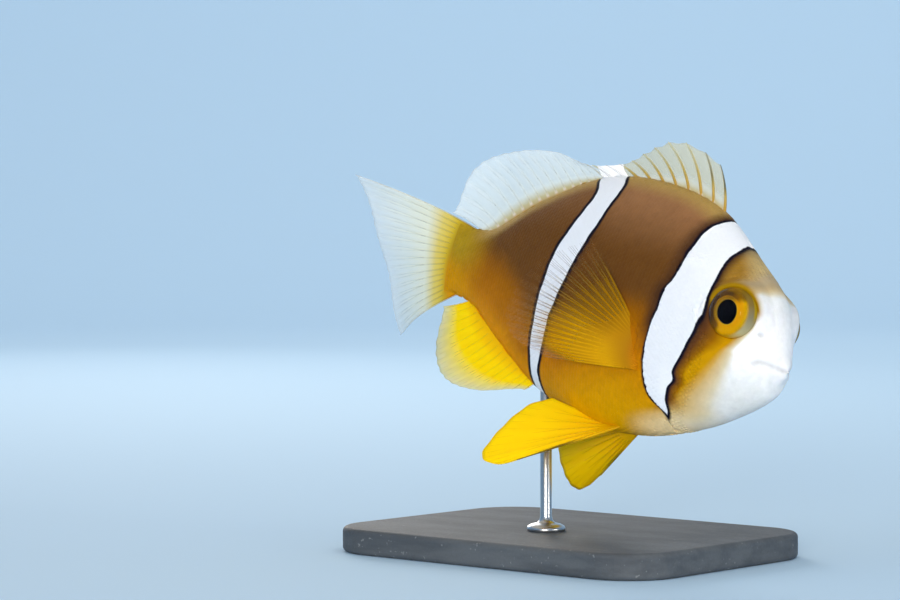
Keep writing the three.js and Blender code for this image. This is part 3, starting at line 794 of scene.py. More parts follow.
def markings_group(c):
    """A node group with the fish's colour at each place, and how much of it is bar."""
    outputs = {"Colour": "Color", "Bars": "Float", "White": "Float"}
    nodes = new_tree("Clownfish markings", "ShaderNodeTree", {}, outputs)
    rise, blend, curve = nodes.rise, nodes.blend, nodes.curve
    place, plain_back, up = nodes.fish_place()
    back = plain_back + (nodes.noise(place, 22.0, 3.0) * 0.010 - 0.005)
    head_bar = bar_distance(nodes, back, up, HEAD_BAR)
    middle_bar = bar_distance(nodes, back, up, MIDDLE_BAR)

    # The trunk: brown above, amber below, yellow at the belly, lighter on the tail stalk.
    above = up - curve(plain_back, AMBER_LEVEL) + (nodes.noise(place, 7.0, 2.0) * 0.05 - 0.025)
    lightened = rise(up, 0.10, 0.27) * nodes.between(rise(plain_back, 0.60, 0.50), 0.45, 1.0)
    brown = blend(lightened, c.brown, c.back)
    low = nodes.ramp(rise(above, 0.05, -0.24), [(0.0, c.umber), (0.35, c.amber), (1.0, c.belly)])
    low = blend(rise(plain_back, 0.56, 0.66) * rise(above, -0.05, -0.12) * 0.9, low, c.rear_edge)
    trunk = blend(rise(above, 0.07, -0.01), brown, low)
    stalk = blend(rise(up, 0.03, -0.04), c.stalk, blend(0.65, low, c.low_stalk))
    trunk = blend(rise(plain_back, 0.84, 0.98) * 0.85, trunk, stalk)
    under_ridge = curve(plain_back, [row[:2] for row in STATIONS[4:]]) - up
    trunk = blend(rise(under_ridge, 0.045, 0.004) * rise(plain_back, 0.97, 0.90), trunk, c.ridge)

    # Painted shade beside both bars: in front of the middle bar, and behind the head bar.
    in_front = rise(plain_back, 0.625, 0.605) * rise(middle_bar, 0.032, 0.004)
    at_middle = rise(up, -0.16, -0.11) * rise(up, 0.17, 0.10)
    trunk = blend(in_front * at_middle * 0.75, trunk, c.bar_shade)
    trunk = blend(rise(head_bar, 0.045, 0.004) * rise(up, -0.10, 0.0), trunk, c.bar_shade)

    # The head: pale snout and throat, brown crown, and a cheek that darkens towards the bar, ending in
    # painted shade next to it.
    from_bar = head_bar * nodes.between(rise(up, -0.02, -0.10), 1.0, 2.2) * 10.0
    # Next to the head bar, the cheek and the crown end in painted shade.
    cheek = nodes.ramp(from_bar, [(0.06, c.bar_shade), (0.20, c.russet), (0.50, c.cheek), (0.74, c.gold)])
    crown = blend(rise(head_bar, 0.030, 0.004), c.crown, c.bar_shade)
    upper = blend(rise(up, 0.06, 0.12), cheek, crown)
    past_snout = plain_back - curve(up, SNOUT_EDGE)
    fading = past_snout * curve(up, SNOUT_SHARPNESS) * 10.0 + 0.6
    pale = nodes.ramp(fading, [(0.02, c.snout), (0.24, c.cream), (0.60, c.throat)])
    # Painted shade: the white snout greys away from its middle, towards the brow and the chin.
    snout_shade_share = nodes.math("MAXIMUM", rise(up, 0.04, 0.11), rise(up, -0.02, -0.09))
    pale = blend(snout_shade_share * rise(fading, 0.35, 0.05) * 0.5, pale, c.snout_shade)
    pale = blend(rise(up, -0.05, -0.14) * 0.14, pale, c.cream)
    # Painted light: the throat is lightened where it faces down, to make up for the light that does not
    # reach it.
    pale = blend(rise(up, -0.17, -0.24), pale, c.underside_painted_light)
    head = blend(rise(fading, 0.52, 0.82), pale, upper)
    on_brow = rise(up, 0.085, 0.135) * rise(past_snout, 0.05, 0.0) * rise(past_snout, -0.035, 0.0)
    head = blend(on_brow, head, blend(rise(plain_back, 0.145, 0.118), c.forehead, c.brow))

    # A ring of ochre skin round the upper and front part of the eye.
    off_up = up - EYE_CENTRE[2]
    from_eye = nodes.distance(plain_back - EYE_CENTRE[0], off_up)
    head = blend(rise(from_eye, 0.069, 0.059) * rise(off_up, -0.010, 0.020), head, c.eye_ring)

    # Head meets trunk under the bar, and softly below the bar's end.
    softness = nodes.between(rise(up, -0.16, -0.20), 0.010, 0.055)
    behind_head = plain_back - 0.250 - rise(up, -0.17, -0.23) * 0.055
    whole = blend(rise(behind_head, softness * -1.0, softness), head, trunk)

    # The bars, with their dark edges.
    outside = nodes.math("MINIMUM", head_bar, middle_bar)
    edge_width = nodes.between(rise(middle_bar, 0.05, 0.0), BAR_EDGING, 1.35 * BAR_EDGING)
    dark = rise(outside, edge_width + 0.0045, edge_width - 0.0025)
    white = rise(outside, 0.0012, -0.0012)
    whole = blend(white, blend(dark, whole, c.edging), c.white)
    nodes.give({"Colour": whole, "Bars": dark, "White": white})


def markings(nodes):
    """The fish's colour at the shaded place, how much of it is bar with edges, and how much is white."""
    group = bpy.data.node_groups["Clownfish markings"]
    return nodes.all_outputs(nodes.add("ShaderNodeGroup", node_tree=group))


def skin_material(name, depth, scaled):
    """Fish skin: the markings, a little mottling and fine relief; the bare skin gets painted shade in its
    hollows, scaled ones a tone of their own and painted shade at each scale's rim.
    """
    material, nodes = new_material(name)
    marked, bars, _ = markings(nodes)
    place = nodes.fish_place()[0]
    plain = nodes.rise(bars, 1.0, 0.2)
    value = (nodes.noise(place, 60.0, 4.0, 0.6) * 0.30 - 0.15) * plain + 1.0
    if scaled:
        value += (nodes.read("tone") * 0.07 - 0.035) * nodes.between(plain, 0.25, 1.0)
        # Painted shade at each scale's rim, where it meets the next.
        value += nodes.rise(nodes.read("rim"), 0.70, 1.0) * nodes.between(plain, 0.0, -0.035)
    else:
        # Painted shade in the mouth's line, the nostrils and the gill slots.
        value -= nodes.read("hollow") * 0.22
    grain = nodes.noise(place, 420.0, 3.0, 0.6)
    # Flesh under water has little gloss, and light sinks a short way into it.
    nodes.feed(nodes.shader, {
        "Base Color": nodes.add("ShaderNodeHueSaturation", {"Value": value, "Color": marked}),
        "Roughness": nodes.between(grain, 0.36, 0.54),
        "Normal": nodes.bump(grain, depth),
        "Specular IOR Level": 0.05,
        "Subsurface Weight": 0.10,
        "Subsurface Radius": (1.0, 0.5, 0.2),
        "Subsurface Scale": 0.0005,
    })
    return material


# ---------------------------------------------------------------- skin

class CLOWNFISH_OT_skin(bpy.types.Operator):
    """Builds the one skin of the head, trunk and tail stalk"""

    bl_idname = "clownfish.skin"
    bl_label = "Skin"

    def execute(self, context):
        skin = context.scene.clownfish_skin
        markings_group(context.scene.clownfish_colours)
        # The rings are closer on the head.
        share = np.linspace(0, 1, skin.rings + 1)[1:]
        rings = TAIL_END * (0.72 * share + 0.28 * share**2)
        angles = np.linspace(0, 2 * math.pi, skin.sides, endpoint=False)
        along, angle = np.meshgrid(rings, angles, indexing="ij")
        points, _, _, hollow = on_skin(along, angle, skin)
        snout = to_world([SKIN_START])
        tail = to_world([[1.0, sideways(1.0, 0.0), 0.0]])
        everything = np.concatenate([snout, points.reshape(-1, 3), tail])
        # A face's first corner decides along which diagonal it is split.
        faces = [(*face[1:], face[0]) for face in ring_faces(*along.shape)]
        mesh = mesh_from("fish_skin", everything, faces)
        store(mesh, hollow=np.pad(hollow.ravel(), 1))
        layer = mesh.uv_layers.new(name="OFBake")
        layer.data.foreach_set("uv", skin_map_corners(mesh, along, angle).astype(np.float32).ravel())
        finish_piece(
            add_object("fish_skin", mesh), skin_material("Fish skin", skin.fine_bump, False), "skin",
            "head", "lower_jaw", "gill_cover_right", "gill_cover_left", "trunk", "tail_stalk",
        )
        return {"FINISHED"}


def skin_map(along, angle):
    """The skin's unwrap: along it from snout to tail, and round it from the back."""
    return np.stack([along / TAIL_END, np.mod(angle, 2 * math.pi) / (2 * math.pi)], -1)


def skin_map_corners(mesh, along, angle):
    """The unwrap at each corner, with the last face of each ring closed at the map's far edge."""
    at_vertex = np.concatenate([[[0.0, 0.5]], skin_map(along, angle).reshape(-1, 2), [[1.0, 0.5]]])
    vertex = np.zeros(len(mesh.loops), np.int32)
    mesh.loops.foreach_get("vertex_index", vertex)
    corners = at_vertex[vertex]
    total = np.zeros(len(mesh.polygons), np.int32)
    mesh.polygons.foreach_get("loop_total", total)
    face = np.repeat(np.arange(len(total)), total)
    most = np.zeros(len(total))
    np.maximum.at(most, face, corners[:, 1])
    corners[(most[face] > 0.9) & (corners[:, 1] < 0.1), 1] += 1.0
    return corners


# ---------------------------------------------------------------- scales

def scale_lattice(row_gap, column_gap, random):
    """Staggered places over the whole body, in rows that run along it: station and angle of each."""
    stations = np.linspace(0.5, TAIL_END, 1200)
    middle = travelled(to_world(body_point(stations, np.full_like(stations, math.pi / 2))))
    angles = np.linspace(0, math.pi, 160)
    columns = np.arange(0, middle[-1], column_gap)
    found = []
    for column, station in enumerate(np.interp(columns, middle, stations)):
        for side in (1, -1):
            round_it = travelled(to_world(body_point(np.full_like(angles, station), side * angles)))
            level = np.interp(math.pi / 2, angles, round_it)
            first = math.ceil(-level / row_gap)
            rows = (np.arange(first, first + MOST_ROWS) + 0.5 * (column % 2)) * row_gap + level
            rows = rows[(rows > 0.1 * row_gap) & (rows < round_it[-1] - 0.1 * row_gap)]
            rows = rows + random.uniform(-ROW_WANDER, ROW_WANDER, len(rows)) * row_gap
            found += [(station, side * a) for a in np.interp(rows, round_it, angles)]
    return np.array(found)


def fin_root_distance(places):
    """Metres from each place to the roots of the paired fins."""
    return np.min([
        from_stretch(places, *(np.array(fin["root"]) * [1, side, 1]))
        for fin, side in ((PECTORAL, 1), (PECTORAL, -1), (PELVIC_LEFT, 1), (PELVIC_RIGHT, -1))
    ], axis=0)


def scaled_places(scales):
    """Station, angle, size and tone of every scale: larger on the trunk, smaller on the head."""
    random = np.random.default_rng(scales.seed)
    flank = scale_lattice(scales.row_gap, scales.column_gap, random)
    head = scale_lattice(scales.head_row_gap, scales.head_column_gap, random)
    kept = []
    for lattice, on_head in ((flank, False), (head, True)):
        places = body_point(lattice[:, 0], lattice[:, 1])
        back, _, up = places.T
        past_gill = behind_line(GILL_EDGE, back, up)
        wanted = fin_root_distance(places) > FIN_CLEARANCE
        if on_head:
            bare = np.interp(up, *np.transpose(BARE_SNOUT))
            off_cheek_edge = np.abs(behind_line(PREOPERCLE_EDGE, back, up)) > PLATE_CLEARANCE
            wanted &= (past_gill < -PLATE_CLEARANCE) & (back > bare)
            wanted &= side_distance(EYE_CENTRE, back, up) > EYE_CLEARANCE
            wanted &= off_cheek_edge | (up > 0.020) | (up < -0.145)
            size = scales.head_row_gap * (0.5 + 0.5 * rise(back - bare, 0.0, 0.06))
        else:
            wanted &= (past_gill > GILL_CLEARANCE) & (back < LAST_SCALE)
            size = scales.row_gap * (1 - 0.22 * rise(back, 0.80, 0.98))
        kept.append(np.column_stack([lattice[wanted], size[wanted], random.uniform(0, 1, wanted.sum())]))
    return np.concatenate(kept)


def scales_tree(material):
    """Geometry nodes that lay one thin, tilted plate on each point and give it its patch of the map."""
    inputs = {"Points": "Geometry", "Sides": "Int"}
    inputs.update(dict.fromkeys(("Cover", "Thickness", "Rise", "Patch"), "Float"))
    nodes = new_tree("Clownfish scales", "GeometryNodeTree", inputs, {"Scales": "Geometry"})
    given = nodes.given()

    # The plate: a low cone with a sloping rim, its rear edge raised.
    sizes = {
        "Vertices": given["Sides"], "Radius Top": SCALE_TOP, "Radius Bottom": 1.0,
        "Depth": given["Thickness"],
    }
    plate = nodes.add("GeometryNodeMeshCone", sizes, fill_type="TRIANGLE_FAN")
    position = nodes.add("GeometryNodeInputPosition")
    plate = nodes.keep(plate, "place", position, "FLOAT_VECTOR", "POINT")
    lifted = nodes.join(0.0, 0.0, nodes.split(position)[0] * given["Rise"])
    plate = nodes.change(plate, "SetPosition", Offset=lifted)

    directions = {0: nodes.named("facing"), 1: nodes.named("to_tail")}
    turned = nodes.add("FunctionNodeAxesToRotation", directions, primary_axis="Z", secondary_axis="X")
    radius = nodes.named("size", "FLOAT") * given["Cover"]
    laid = nodes.add("GeometryNodeInstanceOnPoints", {
        "Points": given["Points"], "Instance": plate, "Rotation": turned,
        "Scale": nodes.join(radius, radius, 1.0),
    })
    laid = nodes.change(laid, "RealizeInstances")
    place = nodes.named("place")
    off_root = nodes.vector_math("SCALE", {0: place, "Scale": given["Patch"] * 0.5})
    spot = nodes.vector_math("ADD", {0: nodes.named("root_map"), 1: off_root})
    laid = nodes.keep(laid, "OFBake", spot, "FLOAT2", "CORNER")
    flat = nodes.vector_math("MULTIPLY", {0: place, 1: (1.0, 1.0, 0.0)})
    # How far each point of a scale lies from its middle; the skin material darkens the rim with it as
    # painted shade.
    laid = nodes.keep(laid, "rim", nodes.vector_math("LENGTH", {0: flat}, "Value"), "FLOAT", "POINT")
    laid = nodes.change(laid, "SetShadeSmooth", **{"Shade Smooth": True})
    nodes.give({"Scales": nodes.change(laid, "SetMaterial", Material=material)})
    return nodes.tree


def built_by_nodes(name, mesh, tree, values):
    """Runs a node tree on a mesh and keeps the result as a plain mesh."""
    source = add_object(name + "_source", mesh)
    modifier = source.modifiers.new("Build", "NODES")
    modifier.node_group = tree
    for item in tree.interface.items_tree:
        if item.name in values:
            modifier[item.identifier] = values[item.name]
    graph = bpy.context.evaluated_depsgraph_get()
    evaluated = source.evaluated_get(graph)
    result = bpy.data.meshes.new_from_object(evaluated, preserve_all_data_layers=True, depsgraph=graph)
    if not len(result.polygons):
        raise RuntimeError(f"{name}: the node tree made no faces")
    source.modifiers.remove(modifier)
    bpy.data.objects.remove(source)
    result.name = name
    return add_object(name, result)


class CLOWNFISH_OT_scales(bpy.types.Operator):
    """Lays the coat of scales over the skin, one piece for each side"""

    bl_idname = "clownfish.scales"
    bl_label = "Scales"

    def execute(self, context):
        scales = context.scene.clownfish_scales
        skin = context.scene.clownfish_skin
        tree = scales_tree(skin_material("Fish scales", skin.fine_bump, True))
        places = scaled_places(scales)
        values = {
            "Cover": scales.cover, "Thickness": scales.thickness, "Rise": scales.rise,
            "Patch": scales.patch, "Sides": scales.sides,
        }
        for name, chosen in (("scales_left", places[:, 1] > 0), ("scales_right", places[:, 1] < 0)):
            station, angle, size, tone = places[chosen].T
            points, facing, to_tail, _ = on_skin(station, angle, skin)
            round_the_eye(station, angle, skin, facing, to_tail)
            mesh = bpy.data.meshes.new(name + "_points")
            mesh.from_pydata(points.tolist(), [], [])
            root_map = np.column_stack([skin_map(station, angle), np.zeros(len(angle))])
            store(mesh, facing=facing, to_tail=to_tail, size=size, tone=tone, root_map=root_map)
            finish_piece(built_by_nodes(name, mesh, tree, values), None, "skin")
        return {"FINISHED"}


# ---------------------------------------------------------------- fins

# How each fin looks and is built. Films and rays have a colour and an opacity at places from root to
# margin. The rest, where a fin has it:
#   shares          where each ray stands along the fin's base
#   spines          how many rays from the front are unforked spines
#   notch           how deep the margin is notched between the rays
#   thick, over     how much thicker the root is, in metres, and how far out that reaches
#   full_at         how far out the root is thickest
#   streaks         how much the film thickens beside the rays
#   body_reach      how far out the body's own colour runs up from the root
#   bars            whether the white bar runs up the fin as well
#   spiny_film      the colour of the film between the spines
#   film_glow       how far light comes through the film; ray_glow is the same for the rays
#   dark_front      whether the foremost rays are dark
#   low_film        the colour of the film on the lower rays; low_rays is that of those rays
DORSAL_RAYS_AT = np.concatenate([
    np.linspace(DORSAL["from"], SPINY_TO, DORSAL_SPINES),
    np.linspace(SOFT_FROM, DORSAL["to"], DORSAL_SOFT_RAYS),
])
DORSAL_LOOKS = {
    "name": "Dorsal", "slot": "fin_clear", "spines": DORSAL_SPINES,
    "shares": (DORSAL_RAYS_AT - DORSAL["from"]) / (DORSAL["to"] - DORSAL["from"]),
    "notch": [0.045] * (DORSAL_SPINES - 1) + [0.012] * (DORSAL_SOFT_RAYS + 1),
    "thick": 0.9 * MM, "over": 0.22, "streaks": 0.22, "body_reach": 0.05, "bars": True, "dark_front": True,
    "spiny_film": (214, 206, 160),
    "film": [(0.0, (170, 134, 50)), (0.13, (206, 194, 140)), (0.26, (234, 240, 234)),
             (1.0, (242, 250, 252))],
    "film_opacity": [(0.0, 1.0), (0.16, 0.55), (0.32, 0.34), (1.0, 0.30)],
    "rays": [(0.0, (184, 140, 50)), (0.45, (200, 176, 96)), (1.0, (214, 212, 170))],
    "ray_opacity": [(0.0, 1.0), (0.35, 0.9), (0.7, 0.6), (1.0, 0.5)],
}
ANAL_LOOKS = {
    "name": "Anal", "slot": "fin_yellow", "spines": 2, "shares": np.linspace(0, 1, 15), "notch": 0.012,
    "thick": 0.8 * MM, "over": 0.22, "streaks": 0.1, "film_glow": 0.6, "ray_glow": 0.3,
    "film": [(0.0, (232, 170, 0)), (0.30, (248, 212, 0)), (0.54, (246, 214, 0)), (0.70, (230, 214, 104)),
             (1.0, (230, 226, 182))],
    "film_opacity": [(0.0, 1.0), (0.62, 1.0), (0.84, 0.82), (1.0, 0.60)],
    "rays": [(0.0, (232, 170, 0)), (0.5, (248, 214, 0)), (0.72, (238, 222, 120)), (1.0, (244, 236, 190))],
    "ray_opacity": [(0.0, 0.10), (0.5, 0.10), (0.75, 0.5), (1.0, 0.6)],
}
TAIL_LOOKS = {
    "name": "Tail", "slot": "fin_clear", "shares": np.linspace(0, 1, 17), "notch": 0.012,
    "thick": 1.7 * MM, "over": 0.21, "full_at": 0.12, "streaks": 0.10, "body_reach": 0.11,
    "film": [(0.05, (184, 154, 34)), (0.15, (210, 182, 50)), (0.27, (230, 212, 112)),
             (0.40, (240, 242, 220)), (1.0, (244, 249, 251))],
    "film_opacity": [(0.05, 1.0), (0.21, 0.92), (0.36, 0.60), (0.62, 0.42), (1.0, 0.32)],
    "rays": [(0.05, (186, 150, 30)), (0.27, (228, 212, 124)), (0.40, (242, 242, 226)),
             (1.0, (244, 248, 248))],
    "ray_opacity": [(0.05, 0.25), (0.30, 0.30), (1.0, 0.14)],
}
PECTORAL_LOOKS = {
    "name": "Pectoral", "slot": "fin_amber", "shares": np.linspace(0, 1, 19), "notch": 0.010,
    "thick": 1.0 * MM, "over": 0.42, "full_at": 0.26, "streaks": 0.3, "body_reach": 0.06,
    "low_film": (200, 148, 0), "low_rays": (208, 156, 0),
    "film": [(0.0, (160, 106, 0)), (0.3, (182, 130, 0)), (0.5, (184, 138, 0)), (0.75, (140, 108, 40)),
             (1.0, (186, 160, 130))],
    "film_opacity": [(0.0, 1.0), (0.25, 0.95), (0.45, 0.55), (0.60, 0.28), (0.78, 0.04), (1.0, 0.0)],
    "rays": [(0.0, (160, 106, 0)), (0.4, (188, 138, 0)), (0.64, (184, 138, 6)), (0.80, (138, 106, 66)),
             (1.0, (206, 146, 104))],
    "ray_opacity": [(0.0, 1.0), (0.45, 0.90), (0.66, 0.62), (0.80, 0.17), (1.0, 0.10)],
}
PELVIC_LOOKS = {
    "name": "Pelvic", "slot": "fin_yellow", "spines": 1, "shares": np.linspace(0, 1, 8), "notch": 0.006,
    "thick": 1.1 * MM, "over": 0.25, "dark_front": True, "film_glow": 0.6, "ray_glow": 0.6,
    "film": [(0.0, (206, 156, 0)), (0.22, (240, 188, 0)), (0.6, (252, 206, 0)), (1.0, (252, 208, 0))],
    "film_opacity": [(0.0, 1.0), (0.9, 1.0), (1.0, 0.95)],
    "rays": [(0.0, (200, 152, 0)), (0.5, (248, 194, 0)), (1.0, (255, 202, 0))],
    "ray_opacity": [(0.0, 1.0), (1.0, 0.8)],
}


def ridge_up(back, is_top):
    """Height of the back line, or of the belly line, at a distance back."""
    rows = smooth_through(STATIONS, np.linspace(0, TAIL_END, 600))
    column = 0 if is_top else 2
    return np.interp(back, rows[:, column], rows[:, column + 1])


def rippled(fin, t, v, back, up, start):
    """A place on an upright fin, swung and twisted with the tail and swaying towards its margin."""
    sway = fin["ripple"] * np.sin(2 * math.pi * fin["ripples"] * t + start) * v * v
    return np.stack([back, sideways(back, up) + sway, up], -1)


def median_place(fin, t, v):
    """A place on the dorsal or anal fin: t along its base, v from root to margin."""
    root_back = fin["from"] + (fin["to"] - fin["from"]) * t
    angle = np.radians(along_curve(fin["lean"], t))
    reach = along_curve(fin["length"], t) + FIN_ROOT_DEPTH
    out = reach * v
    bent = along_curve(fin["bow"], t) * reach * (v * v - v)
    back = root_back + out * np.sin(angle) + bent * np.cos(angle)
    climb = out * np.cos(angle) - bent * np.sin(angle) - FIN_ROOT_DEPTH
    return rippled(fin, t, v, back, ridge_up(root_back, fin["up"] > 0) + fin["up"] * climb, 0.6)


def tail_place(fin, t, v):
    """A place on the tail fin: t from its upper edge to its lower one, v from root to margin."""
    across = 2 * t - 1
    start_back = fin["root_back"] + fin["root_bulge"] * (1 - across * across)
    start_up = fin["root_up"][0] + (fin["root_up"][1] - fin["root_up"][0]) * t
    tip_back, tip_up = np.moveaxis(along_curve(fin["tips"], t), -1, 0)
    back = start_back + (tip_back - start_back) * v
    up = start_up + (tip_up - start_up) * v - fin["bow"] * across * (v - v * v)
    return rippled(fin, t, v, back, up, 0.4)


def paired_place(fin, side, t, v):
    """A place on a pectoral or pelvic fin: t along its base, v from root to margin."""
    root = np.array(fin["root"])
    start = root[0] + (root[1] - root[0]) * t[..., None]
    out = along_curve(fin["reach"], t)
    reach = np.linalg.norm(out, axis=-1)
    share = v * (1 + fin["depth"] / reach) - fin["depth"] / reach
    place = start + out * share[..., None] + np.array(fin["bow"]) * (v - v * v)[..., None]
    return place * [1, side, 1]


class FinShape:
    """A fin as a function of ray number and distance out along the rays, which run from 0 to 1."""

    def __init__(self, place, looks):
        self.place = place
        self.looks = looks
        self.last = len(looks["shares"]) - 1
        self.notch = np.broadcast_to(looks["notch"], self.last + 1)

    def world(self, ray, v):
        """Places at ray numbers, which may lie between two rays."""
        ray, v = np.broadcast_arrays(np.asarray(ray, float), np.asarray(v, float))
        return to_world(self.place(np.interp(ray, np.arange(self.last + 1), self.looks["shares"]), v))

    def root_swell(self, out):
        """Thickest just past the hidden edge of the root, then thinning outwards."""
        thinning = np.clip(1 - out / self.looks["over"], 0, 1) ** 2
        return self.looks["thick"] * rise(out, -0.02, self.looks.get("full_at", 0.09)) * thinning

    def margin(self, ray):
        """How far out the skin reaches at a ray number: it is notched between the rays."""
        depth = np.interp(ray, np.arange(self.last + 1), self.notch)
        return 1 - depth * np.sin(math.pi * ray) ** 2


def fin_film(shape, name, film):
    """The fin's skin: a closed thin sheet, thicker at its root, with a notched margin."""
    rays = np.linspace(0, shape.last, shape.last * FILM_PER_RAY + 1)
    ray, out = np.meshgrid(rays, np.linspace(0, 1, FILM_STEPS + 1), indexing="ij")
    v = out * shape.margin(ray)
    middle = shape.world(ray, v)
    normal = unit(np.cross(np.gradient(middle, axis=0), np.gradient(middle, axis=1)))
    thickness = film * (1 - FILM_THINS * rise(out, 0.7, 1.0)) + shape.root_swell(out)
    off_rim = rise(np.minimum(ray, shape.last - ray), 0.0, 0.5)
    thickness = film * 0.5 + (thickness - film * 0.5) * (0.25 + 0.75 * off_rim)
    pleat = FILM_PLEAT * np.cos(2 * math.pi * ray) * rise(out, 0.05, 0.5)
    middle = middle + normal * pleat[..., None]
    half = normal * thickness[..., None] / 2
    points = np.concatenate([(middle + half).reshape(-1, 3), (middle - half).reshape(-1, 3)])
    mesh = mesh_from(name, points, closed_sheet_faces(*ray.shape))
    store(mesh, ray=np.tile(ray.ravel(), 2), out=np.tile(v.ravel(), 2))
    return add_object(name, mesh)


def closed_sheet_faces(rows, columns):
    """Quads over two grids of points and round their shared rim."""
    point = np.arange(rows * columns).reshape(rows, columns)
    front = np.stack([point[:-1, :-1], point[1:, :-1], point[1:, 1:], point[:-1, 1:]], -1).reshape(-1, 4)
    other = rows * columns
    rear = front[:, ::-1] + other
    rim = np.concatenate([point[:-1, 0], point[-1, :-1], point[:0:-1, -1], point[0, :0:-1]])
    after = np.roll(rim, -1)
    sides = np.stack([rim, rim + other, after + other, after], -1)
    return np.concatenate([front, rear, sides]).tolist()


def branch_lines(ray, radius, branching):
    """Stretches of one ray as (ray numbers, v, radii): a stem, then forks that fork again."""
    if not branching:
        v = np.linspace(0, 1 + SPINE_OVERRUN, 15)
        return [(np.full_like(v, ray), v, radius * (1 - 0.80 * v / (1 + SPINE_OVERRUN)))]
    stretches = []
    offsets = [0.0]
    for start, end, ways, spread, thinner in RAY_FORKS:
        v = np.linspace(start, end, 8)
        opening = spread * rise((v - start) / (end - start), 0.0, 1.0) ** 0.8
        radii = radius * (1 - 0.72 * v) * thinner
        stretches += [(ray + offset + way * opening, v, radii) for offset in offsets for way in ways]
        offsets = [offset + way * spread for offset in offsets for way in ways]
    return stretches


def ray_lines(shape, name, spine_radius, ray_radius):
    """A mesh of loose lines along the rays and their forks, with a radius at each point."""
    points = []
    edges = []
    table = []
    for ray in range(shape.last + 1):
        branching = ray >= shape.looks.get("spines", 0)
        for place, v, radius in branch_lines(ray, ray_radius if branching else spine_radius, branching):
            place = np.clip(place, 0, shape.last)
            edges += [(len(points) + k, len(points) + k + 1) for k in range(len(v) - 1)]
            points += shape.world(place, v * (shape.margin(place) if branching else 1.0)).tolist()
            table.append([place, v, radius])
    mesh = bpy.data.meshes.new(name + "_lines")
    mesh.from_pydata(points, edges, [])
    places, outs, radii = np.concatenate(table, axis=1)
    store(mesh, ray=places, out=outs, radius_here=radii)
    return mesh


def rays_tree():
    """Geometry nodes that turn loose lines into tapering closed tubes."""
    inputs = {"Lines": "Geometry", "Sides": "Int", "Material": "Material"}
    nodes = new_tree("Clownfish rays", "GeometryNodeTree", inputs, {"Rays": "Geometry"})
    given = nodes.given()
    section = {"Resolution": given["Sides"], "Radius": 1.0}
    tubes = nodes.add("GeometryNodeCurveToMesh", {
        "Curve": nodes.add("GeometryNodeMeshToCurve", {"Mesh": given["Lines"]}),
        "Profile Curve": nodes.add("GeometryNodeCurvePrimitiveCircle", section),
        "Scale": nodes.named("radius_here", "FLOAT"),
        "Fill Caps": True,
    })
    tubes = nodes.change(tubes, "SetShadeSmooth", **{"Shade Smooth": True})
    tubes = nodes.change(tubes, "RealizeInstances")
    nodes.give({"Rays": nodes.change(tubes, "SetMaterial", Material=given["Material"])})
    return nodes.tree


def finish_fin_material(nodes, shade, opacity, relief_height, glow):
    """Fin skin and rays: a share of the light sinks in and comes through them."""
    nodes.feed(nodes.shader, {
        "Base Color": shade,
        "Alpha": opacity,
        "Normal": nodes.bump(relief_height, FIN_BUMP),
        "Roughness": 0.45,
        "Specular IOR Level": 0.08,
        "Subsurface Weight": glow,
        "Subsurface Radius": (1.0, 0.8, 0.6),
        "Subsurface Scale": 0.00012,
    })


def on_body(nodes, out, looks, wave):
    """The body's colour, and how much of it runs up a fin: its foot, and with bars the white bar too."""
    reach = looks["body_reach"]
    marked, _, white = markings(nodes)
    low = nodes.rise(out + wave, reach + 0.07, reach - 0.05)
    if "bars" not in looks:
        return marked, low
    barred = nodes.blend(nodes.rise(out, reach, reach + 0.10), marked, (250, 252, 255))
    return barred, nodes.math("MAXIMUM", low, white)


def on_lower_rays(nodes, ray, out, shade, lower):
    """The pectoral fin: its lower rays are brighter than its upper ones."""
    below = nodes.rise(ray, 7.0, 12.5) * nodes.rise(out, 0.10, 0.34) * nodes.rise(out, 0.90, 0.70)
    high = nodes.rise(ray, 9.0, 5.0) * nodes.rise(out, 0.20, 0.40) * 0.6
    return nodes.blend(high, nodes.blend(below, shade, lower), (132, 92, 8))


def film_material(looks):
    """A fin's skin."""
    material, nodes = new_material(looks["name"] + " film")
    out = nodes.read("out")
    ray = nodes.read("ray")
    shade = nodes.ramp(out, looks["film"])
    if "spiny_film" in looks:
        among_spines = nodes.rise(ray, 9.5, 7.5) * nodes.rise(out, 0.1, 0.4)
        shade = nodes.blend(among_spines, shade, looks["spiny_film"])
    cleared = out
    if "low_film" in looks:
        cleared = out + nodes.rise(ray, 10.0, 4.0) * 0.14 - nodes.rise(ray, 11.0, 15.0) * 0.10
    opacity = nodes.ramp(cleared, looks["film_opacity"])
    lines = nodes.noise(nodes.join(ray * 4.0, out * 2.0), 1.0, 2.0)
    beside = nodes.rise(nodes.math("PINGPONG", ray, 0.5), 0.30, 0.02)
    veil = (beside + lines * 0.5) * looks.get("streaks", 0.0)
    opacity = nodes.math("MINIMUM", veil * opacity + opacity, 1.0)
    if "body_reach" in looks:
        body_colour, taken = on_body(nodes, out, looks, beside * (-0.07 if "bars" in looks else 0.0))
        shade = nodes.blend(taken, shade, body_colour)
        opacity = nodes.math("MAXIMUM", opacity, taken)
    if "low_film" in looks:
        shade = on_lower_rays(nodes, ray, out, shade, looks["low_film"])
    finish_fin_material(nodes, shade, opacity, lines, looks.get("film_glow", 0.0))
    return material


